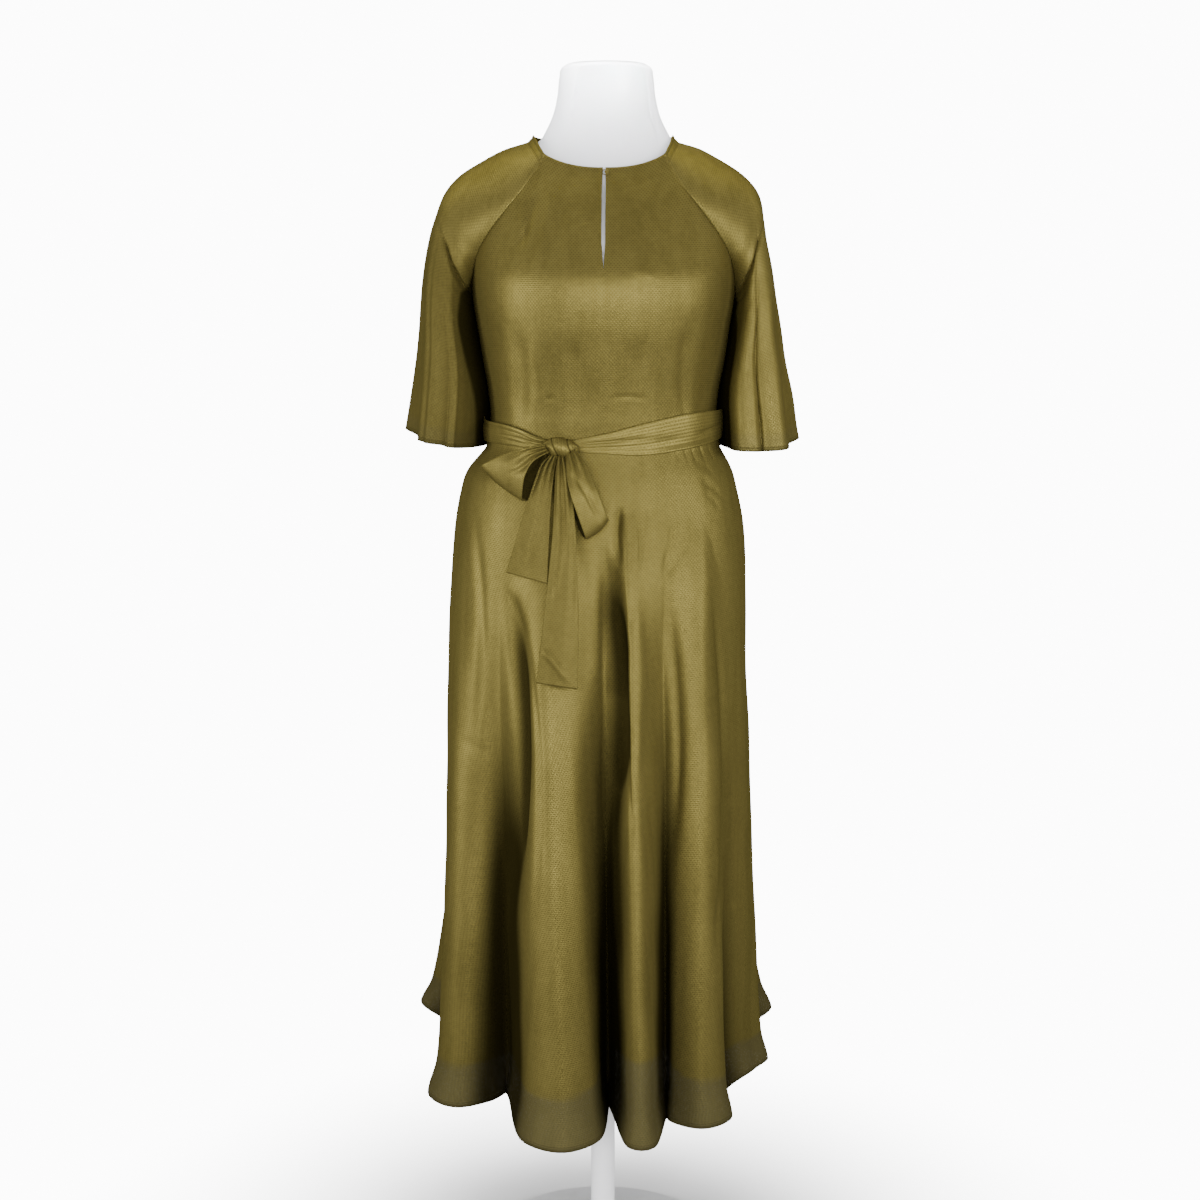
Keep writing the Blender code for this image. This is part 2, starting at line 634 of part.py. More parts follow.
def mitred(row):
    """For each point of a closed row, the step inwards that keeps both its sides one apart."""
    side = unit((np.roll(row, -1, axis=0) - row) * np.array([1.0, 1.0, 0.0]))
    inward = np.stack([-side[:, 1], side[:, 0], 0 * side[:, 0]], axis=-1)
    before = np.roll(inward, 1, axis=0)
    turned = 1.0 + np.sum(inward * before, axis=-1, keepdims=True)
    return (inward + before) / np.maximum(turned, MITRE_LIMIT)


def lining(whole):
    """A band of the lining inside the skirt, made from the skirt's own rows."""
    return close_loop(np.array([row + mitred(row) * LINING_STEP for row in whole[-3:-1, :-1]]))


# ---- sash

def sash_band():
    """Points of the sash round the waist, lying on the cloth under it."""
    turn = between(-180.0, 180.0, SASH_COLUMNS + 1)
    middle = read(SASH, "z", "turn", turn)
    width = read(SASH, "width", "turn", turn)
    angle = np.radians(turn)
    rows = []
    for part in (0.5, 0.0, -0.5):
        z = middle + part * width
        upper = around(BODICE, angle, z, -SASH_STEP)
        lower = around(SKIRT, angle, np.minimum(z, WAIST_SEAM), -SASH_STEP)
        radius = np.linalg.norm(upper[:, :2], axis=-1)
        other = np.linalg.norm(lower[:, :2], axis=-1)
        grown = np.maximum(other / radius, 1.0)[:, None]
        upper[:, :2] *= grown
        rows.append(upper)
    return np.array(rows)


def beside_knot(row, step):
    """Moves a ribbon's end in or out until it lies against the knot."""
    centre = np.array(KNOT)
    arm = row - centre
    reach = np.linalg.norm(arm / np.array(KNOT_HALF), axis=-1, keepdims=True)
    wanted = 1.0 + step * reach / np.linalg.norm(arm, axis=-1, keepdims=True)
    return centre + arm * wanted / reach


def ribbon(rows, ends, step):
    """Points of a ribbon from the edges in its table; the listed ends lie against the knot."""
    count = len(rows["ax"])
    wanted = between(0.0, count - 1.0, RIBBON_ROWS_PER_SPAN * (count - 1) + 1)
    source = dict(rows, row=np.arange(count, dtype=float))
    edges = []
    for edge in "ab":
        edges.append(np.stack([read(source, edge + axis, "row", wanted) for axis in "xyz"], axis=-1))
    share = between(0.0, 1.0, RIBBON_COLUMNS + 1)[None, :, None]
    points = edges[0][:, None] * (1 - share) + edges[1][:, None] * share
    for end in ends:
        points[end] = beside_knot(points[end], step)
    return points


def make_knot(collection, colour):
    """The knot: a small bun with a shallow twist."""
    bun = bmesh.new()
    bmesh.ops.create_uvsphere(bun, u_segments=16, v_segments=8, radius=1.0)
    for corner in bun.verts:
        swell = 1.0 + 0.03 * math.sin(3 * math.atan2(corner.co.z, corner.co.y) + 4 * corner.co.x)
        corner.co = [KNOT[k] + KNOT_HALF[k] * corner.co[k] * swell for k in range(3)]
    mesh = bpy.data.meshes.new("sash_knot")
    bun.to_mesh(mesh)
    bun.free()
    mesh.shade_smooth()
    return finish("sash_knot", mesh, collection, colour, 0.5)


# ---- neck fastening

def chest_y(x, z):
    """The front panel's middle surface at a place across and up."""
    reach = abs(x - float(read(BODICE, "cx", "z", z))) / float(read(BODICE, "half", "z", z))
    return -float(read(BODICE, "front", "z", z)) * (1 - reach ** ROUNDNESS) ** (1 / ROUNDNESS)


def chest_slope(x, z):
    """The lean of the chest there: the rise of its normal above the horizontal."""
    step = 0.004
    return math.atan2(chest_y(x, z + step) - chest_y(x, z - step), 2 * step)


def off_chest(x, z, distance):
    """A point at a distance off the front panel's middle surface."""
    lean = chest_slope(x, z)
    return (x, chest_y(x, z) - distance * math.cos(lean), z + distance * math.sin(lean))


def make_button(collection, colour):
    x, z = BUTTON_PLACE
    bpy.ops.mesh.primitive_uv_sphere_add(segments=14, ring_count=8, radius=1.0)
    button = bpy.context.object
    button.name = "neck_button"
    for corner in button.data.vertices:
        corner.co.x *= BUTTON_RADIUS
        corner.co.y *= BUTTON_HEIGHT / 2
        corner.co.z *= BUTTON_RADIUS
    button.location = off_chest(x, z, CLOTH / 2 + REST_GAP + BUTTON_HEIGHT / 2)
    button.rotation_euler.x = -chest_slope(x, z)
    button.data.shade_smooth()
    button.data.materials.append(make_material("neck_button", colour, 0.5))
    for owner in list(button.users_collection):
        owner.objects.unlink(button)
    collection.objects.link(button)
    return button


def make_loop(collection, colour):
    """A thin cord loop from the left edge of the slit, round the button."""
    x, z = BUTTON_PLACE
    line = bpy.data.curves.new("neck_loop", "CURVE")
    line.dimensions = "3D"
    line.bevel_depth = LOOP_THICK
    line.bevel_resolution = 1
    line.use_fill_caps = True
    spline = line.splines.new("POLY")
    spline.points.add(LOOP_POINTS - 1)
    reach = BUTTON_RADIUS + LOOP_THICK + 0.0005
    for k, point in enumerate(spline.points):
        turn = math.radians(-150 + 300 * k / (LOOP_POINTS - 1))
        across = x + reach * math.cos(turn) - max(0.0, -math.cos(turn)) * LOOP_STRETCH
        up = z + reach * math.sin(turn) * math.cos(chest_slope(x, z))
        point.co = (*off_chest(across, up, CLOTH / 2 + LOOP_THICK + REST_GAP), 1.0)
    draft = bpy.data.objects.new("loop_draft", line)
    bpy.context.scene.collection.objects.link(draft)
    bpy.context.view_layer.update()
    evaluated = draft.evaluated_get(bpy.context.evaluated_depsgraph_get())
    mesh = bpy.data.meshes.new_from_object(evaluated)
    bpy.data.objects.remove(draft)
    welded = bmesh.new()
    welded.from_mesh(mesh)
    bmesh.ops.remove_doubles(welded, verts=welded.verts, dist=1e-6)
    welded.to_mesh(mesh)
    welded.free()
    mesh.materials.clear()
    return finish("neck_loop", mesh, collection, colour, 0.5)


# ---- dress form

def form_rows():
    """Sections of the torso from its closed bottom to its flat neck cap."""
    follow = [z for z in BODICE["z"] if WAIST_SEAM < z < FORM_UPPER["z"][0]]
    angle = between(0.0, 2 * math.pi, FORM_COLUMNS + 1)[:-1]
    rings = [around(FORM_LOWER, angle, z) for z in FORM_LOWER["z"]]
    rings += [around(BODICE, angle, z, FORM_STEP) for z in follow]
    rings += [around(FORM_UPPER, angle, z) for z in FORM_UPPER["z"]]
    return rings


def make_torso(collection, colour):
    """The torso is a loft through unlike sections, closed flat below and at the neck."""
    body = bmesh.new()
    rings = [[body.verts.new(point) for point in ring] for ring in form_rows()]
    for lower, upper in zip(rings, rings[1:]):
        for k in range(FORM_COLUMNS):
            n = (k + 1) % FORM_COLUMNS
            body.faces.new((lower[k], lower[n], upper[n], upper[k]))
    body.faces.new(rings[0][::-1])
    body.faces.new(rings[-1])
    bmesh.ops.recalc_face_normals(body, faces=body.faces)
    mesh = bpy.data.meshes.new("form_torso")
    body.to_mesh(mesh)
    body.free()
    mesh.shade_smooth()
    return finish("form_torso", mesh, collection, colour, 0.7)


def make_pole(collection, colour):
    """The pole stands on the base and carries the torso."""
    low = BASE_HEIGHT + SEAT_GAP
    high = FORM_BOTTOM - SEAT_GAP
    bpy.ops.mesh.primitive_cylinder_add(vertices=20, radius=POLE_RADIUS, depth=high - low)
    pole = bpy.context.object
    pole.name = "form_pole"
    pole.location = (0.0, 0.0, (low + high) / 2)
    pole.data.materials.append(make_material("form_pole", colour, 0.4))
    for owner in list(pole.users_collection):
        owner.objects.unlink(pole)
    collection.objects.link(pole)
    return pole


def make_base(collection, colour):
    """A turned base plate, flat underneath."""
    profile = [
        (0.0, 0.0), (BASE_RADIUS - 0.004, 0.0), (BASE_RADIUS, 0.004),
        (BASE_RADIUS, BASE_RIM - 0.004), (BASE_RADIUS - 0.004, BASE_RIM),
        (0.060, 0.018), (0.030, 0.026), (0.027, BASE_HEIGHT), (0.0, BASE_HEIGHT),
    ]
    line = bmesh.new()
    corners = [line.verts.new((x, 0.0, z)) for x, z in profile[::-1]]
    for a, b in zip(corners, corners[1:]):
        line.edges.new((a, b))
    mesh = bpy.data.meshes.new("form_base")
    line.to_mesh(mesh)
    line.free()
    base = finish("form_base", mesh, collection, colour, 0.4)
    turned = base.modifiers.new("turned", "SCREW")
    turned.steps = 36
    turned.render_steps = 36
    turned.use_merge_vertices = True
    turned.merge_threshold = 0.0001
    return base


def main():
    for thing in list(bpy.data.objects):
        bpy.data.objects.remove(thing)
    garment = bpy.data.collections.new("party_dress_on_form")
    bpy.context.scene.collection.children.link(garment)

    make_torso(garment, WHITE)
    make_pole(garment, WHITE)
    make_base(garment, WHITE)
    make_bodice_front(garment, OLIVE)
    cloth("bodice_back", panel("back"), CLOTH, garment, OLIVE)
    cloth("sleeve_right", sleeve(1, -LEFT_SLEEVE_DROP), CLOTH, garment, OLIVE)
    cloth("sleeve_left", sleeve(-1, LEFT_SLEEVE_DROP), CLOTH, garment, OLIVE)
    cloth("neck_band", neck_band(), CLOTH, garment, OLIVE)
    make_button(garment, OLIVE)
    make_loop(garment, OLIVE)

    whole = skirt()
    seam = FRONT_FOLDS * FOLD_COLUMNS
    cloth("skirt_front", parted(whole[:, :seam + 1]), CLOTH, garment, OLIVE)
    cloth("skirt_back", parted(whole[:, seam:]), CLOTH, garment, OLIVE)
    cloth("lining", lining(whole), LINING_CLOTH, garment, LINING_OLIVE, 0.6)

    cloth("sash_band", sash_band(), SASH_CLOTH, garment, OLIVE)
    make_knot(garment, OLIVE)
    for name, rows, ends, step in (
        ("sash_loop_left", LOOP_LEFT, (0, -1), LOOP_STEP),
        ("sash_loop_right", LOOP_RIGHT, (0, -1), LOOP_STEP),
        ("sash_tail_short", TAIL_SHORT, (0,), TAIL_STEP),
        ("sash_tail_long", TAIL_LONG, (0,), TAIL_STEP),
    ):
        cloth(name, ribbon(rows, ends, step), SASH_CLOTH, garment, OLIVE)


main()
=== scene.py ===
import math

import bmesh
import bpy
import numpy as np
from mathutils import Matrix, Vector


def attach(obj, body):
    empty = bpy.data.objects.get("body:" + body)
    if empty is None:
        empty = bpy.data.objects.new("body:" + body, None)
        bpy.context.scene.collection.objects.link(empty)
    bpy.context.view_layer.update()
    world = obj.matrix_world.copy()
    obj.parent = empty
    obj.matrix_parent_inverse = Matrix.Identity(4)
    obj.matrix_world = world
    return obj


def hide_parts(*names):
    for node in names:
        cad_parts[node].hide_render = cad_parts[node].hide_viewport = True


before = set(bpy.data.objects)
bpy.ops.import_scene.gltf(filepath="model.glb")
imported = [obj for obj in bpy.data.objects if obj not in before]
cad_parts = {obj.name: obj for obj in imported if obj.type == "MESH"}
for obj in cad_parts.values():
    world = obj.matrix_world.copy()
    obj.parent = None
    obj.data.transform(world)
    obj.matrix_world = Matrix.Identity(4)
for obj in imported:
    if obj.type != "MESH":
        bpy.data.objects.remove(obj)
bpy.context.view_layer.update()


# --- reading small tables of sizes, in metres

def table(header, *rows):
    return {name: np.array(column, dtype=float) for name, column in zip(header.split(), zip(*rows))}


def look(source, column, by, value):
    # one column at a value of another, on a smooth curve
    x, y = source[by], source[column]
    slope = np.gradient(y, x)
    value = np.asarray(value, dtype=float)
    k = np.clip(np.searchsorted(x, value) - 1, 0, len(x) - 2)
    step = x[k + 1] - x[k]
    t = np.clip((value - x[k]) / step, 0.0, 1.0)
    first = (1 + 2 * t) * (1 - t) ** 2 * y[k] + t * (1 - t) ** 2 * step * slope[k]
    return first + t * t * (3 - 2 * t) * y[k + 1] - t * t * (1 - t) * step * slope[k + 1]


def looks(source, names, by, value):
    return np.stack([look(source, name, by, value) for name in names.split()], axis=-1)


def rowsOf(source, names):
    return zip(*(source[name] for name in names.split()))


def ease(t):
    t = np.clip(t, 0.0, 1.0)
    return t * t * (3 - 2 * t)


def unit(v):
    return v / np.maximum(np.linalg.norm(v, axis=-1, keepdims=True), 1e-9)


def span(start, end, count):
    return start + (end - start) * np.linspace(0.0, 1.0, count)


# --- the dress's sizes

dress = {
    "cloth": 0.0009,
    "waist": 1.083,
    "underarm": 1.262,
    "sleeveTop": 1.4355,
    "neckCorner": 1.4455,
    "backNeck": 1.4650,
    "frontDip": 0.0185,
    "backDip": 0.0060,
    "roundness": 2.3,
    "lap": 0.0016,
}

bodice = table(
    "z cx half front back",
    (1.06, 0, 0.152, 0.12, 0.106),
    (1.083, 0, 0.149, 0.118, 0.104),
    (1.122, 0.0005, 0.144, 0.121, 0.103),
    (1.156, 0.0005, 0.1468, 0.127, 0.105),
    (1.194, 0.0008, 0.1536, 0.136, 0.109),
    (1.238, 0.0005, 0.1602, 0.1465, 0.114),
    (1.265, 0.0005, 0.1645, 0.1495, 0.116),
    (1.29, 0.0005, 0.167, 0.1475, 0.117),
    (1.32, 0, 0.1675, 0.136, 0.1165),
    (1.355, 0, 0.166, 0.119, 0.114),
    (1.39, 0.0005, 0.162, 0.1, 0.106),
    (1.42, 0.001, 0.156, 0.081, 0.094),
    (1.446, 0.0015, 0.15, 0.066, 0.08),
    (1.475, 0.002, 0.14, 0.05, 0.062),
)

raglan = table(  # distance of the raglan seams from the middle
    "z front back",
    (1.262, 0.166, 0.166),
    (1.292, 0.1645, 0.162),
    (1.32, 0.158, 0.154),
    (1.345, 0.144, 0.143),
    (1.37, 0.125, 0.131),
    (1.4, 0.101, 0.115),
    (1.425, 0.085, 0.1),
    (1.446, 0.074, 0.085),
    (1.47, 0.066, 0.07),
)

skirt = table(
    "z cx half front back",
    (0.24, -0.006, 0.218, 0.15, 0.215),
    (0.3, -0.0055, 0.211, 0.15, 0.211),
    (0.413, -0.0055, 0.206, 0.1495, 0.202),
    (0.55, -0.006, 0.202, 0.148, 0.19),
    (0.712, -0.007, 0.1985, 0.147, 0.176),
    (0.818, -0.0082, 0.1935, 0.146, 0.166),
    (0.897, -0.0066, 0.191, 0.144, 0.156),
    (0.949, -0.0053, 0.1885, 0.14, 0.148),
    (1.001, -0.0046, 0.1825, 0.135, 0.137),
    (1.027, -0.0046, 0.1772, 0.131, 0.129),
    (1.053, -0.004, 0.17, 0.126, 0.119),
    (1.083, 0, 0.15, 0.119, 0.105),
)

sash = table(
    "turn z width",
    (-180, 1.116, 0.04),
    (-130, 1.114, 0.036),
    (-80, 1.106, 0.027),
    (-42, 1.099, 0.022),
    (-27, 1.091, 0.015),
    (-18, 1.0885, 0.012),
    (-9, 1.09, 0.016),
    (15, 1.097, 0.038),
    (36, 1.105, 0.043),
    (78, 1.114, 0.036),
    (130, 1.115, 0.038),
    (180, 1.116, 0.04),
)

folds = table(  # valley before each fold, its crest, and how it opens towards the hem
    "valleyTurn valleyX valleyY turn x y width start late hem rise",
    (-97, -0.197, 0.1, -60, -0.188, -0.15, 0.036, 0.92, 1.3, 0.257, 0.05),
    (-37, -0.124, -0.1, -17, -0.049, -0.29, 0.04, 0.97, 1.1, 0.259, 0.06),
    (1.5, 0.006, -0.13, 8.5, 0.0465, -0.281, 0.0105, 1.01, 1, 0.258, 0.1),
    (22.5, 0.08, -0.16, 40, 0.122, -0.226, 0.032, 0.99, 1, 0.262, 0.056),
    (58, 0.152, -0.115, 82, 0.217, 0, 0.036, 0.8, 1.8, 0.264, 0.04),
    (102, 0.19, 0.098, 126, 0.226, 0.222, 0.034, 0.75, 1.6, 0.268, 0.05),
    (141, 0.156, 0.212, 157, 0.112, 0.318, 0.042, 0.95, 1.1, 0.262, 0.06),
    (172, 0.06, 0.204, 187, 0.002, 0.324, 0.034, 0.98, 1.1, 0.262, 0.08),
    (201, -0.062, 0.205, 215, -0.126, 0.312, 0.042, 0.95, 1.1, 0.264, 0.06),
    (229, -0.17, 0.216, 243, -0.24, 0.248, 0.04, 0.7, 1.9, 0.272, 0.05),
)

sleeveOuter = table(
    "t x y z",
    (0, 0.093, 0.002, 1.4665),
    (0.1, 0.126, 0.003, 1.456),
    (0.2, 0.156, 0.004, 1.44),
    (0.3, 0.18, 0.004, 1.424),
    (0.4, 0.195, 0.002, 1.404),
    (0.5, 0.202, 0, 1.374),
    (0.6, 0.21, 0, 1.334),
    (0.7, 0.22, 0, 1.282),
    (0.8, 0.23, 0, 1.224),
    (0.9, 0.242, 0, 1.162),
    (1, 0.254, 0, 1.1),
)

sleeveInner = table(
    "t x y z",
    (0.5, 0.166, 0, 1.262),
    (0.54, 0.1618, 0.02, 1.248),
    (0.62, 0.1555, 0.037, 1.22),
    (0.78, 0.145, 0.046, 1.16),
    (1, 0.149, 0.056, 1.085),
)

sleeveBulge = table(
    "t in_x in_y in_z out_x out_y out_z back_y back_z",
    (0, 0.004, 0.002, 0.01, 0, 0.03, -0.002, -0.002, 0.0035),
    (0.15, 0.012, -0.005, 0.015, 0.002, 0.04, -0.006, -0.003, 0.006),
    (0.3, 0.014, -0.018, 0.015, 0.006, 0.05, -0.011, -0.002, 0.006),
    (0.45, 0.012, -0.083, 0.006, 0.006, 0.062, -0.014, 0.018, -0.004),
    (0.5, 0.012, -0.116, 0.005, 0.004, 0.066, -0.015, 0.024, -0.004),
    (0.54, 0.014, -0.145, 0.004, 0.003, 0.07, -0.0155, 0.03, -0.004),
    (0.6, 0.016, -0.164, 0.001, 0, 0.076, -0.016, 0.036, -0.004),
    (0.8, 0.016, -0.176, -0.002, -0.018, 0.096, -0.018, 0.058, -0.002),
    (1, 0.016, -0.182, -0.004, -0.038, 0.118, -0.02, 0.068, -0.003),
)

print("sizes read")


# --- surfaces worked out from the tables

def bodySection(sections, angle, z, inset=0.0):
    # angle runs from the front towards the viewer's right
    angle, z = np.broadcast_arrays(np.asarray(angle, float), np.asarray(z, float))
    half = look(sections, "half", "z", z) - inset
    depth = np.where(np.cos(angle) > 0, look(sections, "front", "z", z), look(sections, "back", "z", z)) - inset
    power = 2.0 / dress["roundness"]
    x = look(sections, "cx", "z", z) + half * np.sign(np.sin(angle)) * np.abs(np.sin(angle)) ** power
    y = -depth * np.sign(np.cos(angle)) * np.abs(np.cos(angle)) ** power
    return np.stack([x, y, z], axis=-1)


def raglanAngle(z, face):
    reach = look(raglan, face, "z", z) / look(bodice, "half", "z", z)
    reach = np.where(np.asarray(z) <= dress["underarm"], 1.0, np.minimum(reach, 1.0))
    return np.arcsin(reach ** (dress["roundness"] / 2))


def outward(points, closed=False):
    # unit normals of a grid of points, pointing away from the body
    if closed:
        ring = points[:, :-1]
        across = np.roll(ring, -1, axis=1) - np.roll(ring, 1, axis=1)
        across = np.concatenate([across, across[:, :1]], axis=1)
    else:
        across = np.gradient(points, axis=1)
    down = np.gradient(points, axis=0)
    normal = unit(np.cross(across, down))
    middle = points.mean(axis=(0, 1))
    sign = np.sign(np.sum(normal * (points - middle)))
    return normal * (sign if sign else 1.0)


def grainOf(points, middleColumn):
    # flat places on the cut cloth: across from the middle column, and down it
    across = np.linalg.norm(np.diff(points, axis=1), axis=-1)
    across = np.concatenate([np.zeros((len(points), 1)), np.cumsum(across, axis=1)], axis=1)
    across = across - across[:, middleColumn:middleColumn + 1]
    middle = points[:, middleColumn]
    down = np.concatenate([[0.0], np.cumsum(np.linalg.norm(np.diff(middle, axis=0), axis=-1))])
    return np.stack([across, np.broadcast_to(down[:, None], across.shape)], axis=-1)


def ripple(points, seed, size, depth):
    # slow unevenness of hung cloth, the same each time
    dice = np.random.default_rng(seed)
    total = 0.0
    for wave in range(7):
        heading = unit(dice.normal(size=3) * np.array([1.0, 0.6, 0.45]))
        pitch = size * dice.uniform(0.7, 1.6)
        total = total + np.sin(points @ heading * 2 * math.pi / pitch + dice.uniform(0, 6.28))
    return depth * total / 4.0


def marksOn(points, marks, facing):
    # soft troughs and ridges, each along a short line seen from the front or the back
    x, z = points[..., 0], points[..., 2]
    push = np.zeros(x.shape)
    for ax, az, bx, bz, width, depth, sharp in rowsOf(marks, "ax az bx bz width depth sharp"):
        run = math.hypot(bx - ax, bz - az)
        along = ((x - ax) * (bx - ax) + (z - az) * (bz - az)) / run ** 2
        off = ((x - ax) * (bz - az) - (z - az) * (bx - ax)) / run
        bow = 0.04 * run * np.sin(along * math.pi) * np.sign(sharp + 1e-9)
        off = off + bow
        reach = width * np.where(off * sharp > 0, 1.0 - 0.65 * abs(sharp), 1.0)
        fade = ease(along / 0.3) * ease((1 - along) / 0.35)
        push += depth * np.exp(-(off / reach) ** 2) * fade
    return push * facing


def newPiece(name, sheet, wall=0.0):
    # a smooth object from a bmesh, with a live wall where it is cloth
    mesh = bpy.data.meshes.new(name)
    sheet.to_mesh(mesh)
    sheet.free()
    mesh.shade_smooth()
    piece = bpy.data.objects.new(name, mesh)
    bpy.context.scene.collection.objects.link(piece)
    if wall:
        solid = piece.modifiers.new("wall", "SOLIDIFY")
        solid.thickness = wall
        solid.offset = 0.0
        solid.material_offset = 1
    return piece


def layGrid(name, points, grain, extras, wall, closed=False):
    # a grid moved onto the points, with its grain as a UV map and its extras as attributes
    rows, columns = points.shape[:2]
    sheet = bmesh.new()
    bmesh.ops.create_grid(sheet, x_segments=columns - 1, y_segments=rows - 1, size=1.0)
    draft = bpy.data.meshes.new("draft")
    sheet.to_mesh(draft)
    sheet.free()
    flat = np.zeros(len(draft.vertices) * 3)
    draft.vertices.foreach_get("co", flat)
    flat = flat.reshape(-1, 3)
    column = np.rint((flat[:, 0] + 1) / 2 * (columns - 1)).astype(int)
    row = np.rint((flat[:, 1] + 1) / 2 * (rows - 1)).astype(int)
    draft.vertices.foreach_set("co", points[row, column].astype(np.float32).ravel())
    corner = np.zeros(len(draft.loops), dtype=np.int32)
    draft.loops.foreach_get("vertex_index", corner)
    weave = draft.uv_layers.new(name="grain")
    weave.data.foreach_set("uv", grain[row[corner], column[corner]].astype(np.float32).ravel())
    for label, values in extras.items():
        layer = draft.attributes.new(label, "FLOAT", "POINT")
        layer.data.foreach_set("value", values[row, column].astype(np.float32))
    facing = np.cross(np.gradient(points, axis=1), np.gradient(points, axis=0))
    sheet = bmesh.new()
    sheet.from_mesh(draft)
    bpy.data.meshes.remove(draft)
    if closed:
        bmesh.ops.remove_doubles(sheet, verts=sheet.verts, dist=1e-6)
    if np.sum(facing * outward(points, closed)) < 0:
        bmesh.ops.reverse_faces(sheet, faces=sheet.faces)
    return newPiece(name, sheet, wall)


# --- materials

class Wire:
    # a node's output that can stand in a sum
    def __init__(self, desk, socket):
        self.desk = desk
        self.socket = socket

    def sum(self, operation, a, b):
        return self.desk.put("ShaderNodeMath", {"operation": operation}, {0: a, 1: b})

    def __add__(self, other):
        return self.sum("ADD", self, other)

    def __radd__(self, other):
        return self.sum("ADD", other, self)

    def __sub__(self, other):
        return self.sum("SUBTRACT", self, other)

    def __rsub__(self, other):
        return self.sum("SUBTRACT", other, self)

    def __mul__(self, other):
        return self.sum("MULTIPLY", self, other)

    def __rmul__(self, other):
        return self.sum("MULTIPLY", other, self)

    def __truediv__(self, other):
        return self.sum("DIVIDE", self, other)

    def of(self, operation, other=0.0):
        return self.sum(operation, self, other)

    def band(self, low, high, start=0.0, end=1.0):
        # start up to low, end from high on, smooth between
        return self.desk.put("ShaderNodeMapRange", {"interpolation_type": "SMOOTHSTEP"},
                             {"Value": self, "From Min": low, "From Max": high, "To Min": start, "To Max": end})


class Desk:
    def __init__(self, name):
        self.material = bpy.data.materials.new(name)
        self.material.use_nodes = True
        self.tree = self.material.node_tree
        self.tree.nodes.clear()

    def put(self, kind, settings=None, values=None, output=0):
        node = self.tree.nodes.new(kind)
        for key, value in (settings or {}).items():
            setattr(node, key, value)
        for key, value in (values or {}).items():
            if isinstance(value, Wire):
                self.tree.links.new(value.socket, node.inputs[key])
            else:
                node.inputs[key].default_value = value
        return Wire(self, node.outputs[output]) if len(node.outputs) else node

    def mix(self, share, a, b):
        return self.put("ShaderNodeMix", {"data_type": "RGBA"}, {"Factor": share, 6: a, 7: b}, output=2)

    def noise(self, place, scale, detail=2.0):
        return self.put("ShaderNodeTexNoise", {}, {"Vector": place, "Scale": scale, "Detail": detail})

    def place(self):
        return self.put("ShaderNodeTexCoord", output=3)

    def grain(self):
        # across and down the cut cloth
        across = self.put("ShaderNodeSeparateXYZ", {}, {0: self.put("ShaderNodeUVMap", {"uv_map": "grain"})})
        return across, Wire(self, across.socket.node.outputs[1])

    def painted(self, name):
        return self.put("ShaderNodeAttribute", {"attribute_name": name}, output=2)

    def bump(self, strength, distance, height):
        return self.put("ShaderNodeBump", {}, {"Strength": strength, "Distance": distance, "Height": height})

    def finish(self, values):
        shader = self.put("ShaderNodeBsdfPrincipled", {}, values)
        self.put("ShaderNodeOutputMaterial", {}, {"Surface": shader})
        return self.material


satin = {
    "thread": (0.166, 0.136, 0.0390, 1.0),
    "shade": (0.098, 0.080, 0.0220, 1.0),
    "dot": (0.034, 0.028, 0.0066, 1.0),
    "dotAcross": 0.0042,
    "dotDown": 0.0024,
    "dotShape": (3.4, 2.9),
    "lineDown": 0.0024,
    "threadAcross": 0.0017,
    "stitchAcross": 0.0026,
    "sheer": 0.015,
    # valley: the near-black colour that painted shade in valleys, recesses and inside faces is mixed towards
    "valley": (0.0045, 0.0032, 0.0006, 1.0),
    # thin: colour of the single layer at the hem, with painted shade of the dark inside seen through it
    "thin": (0.094, 0.085, 0.043, 1.0),
    "gloss": (0.50, 0.42, 0.14, 1.0),
    "rolledHem": 0.0045,
}


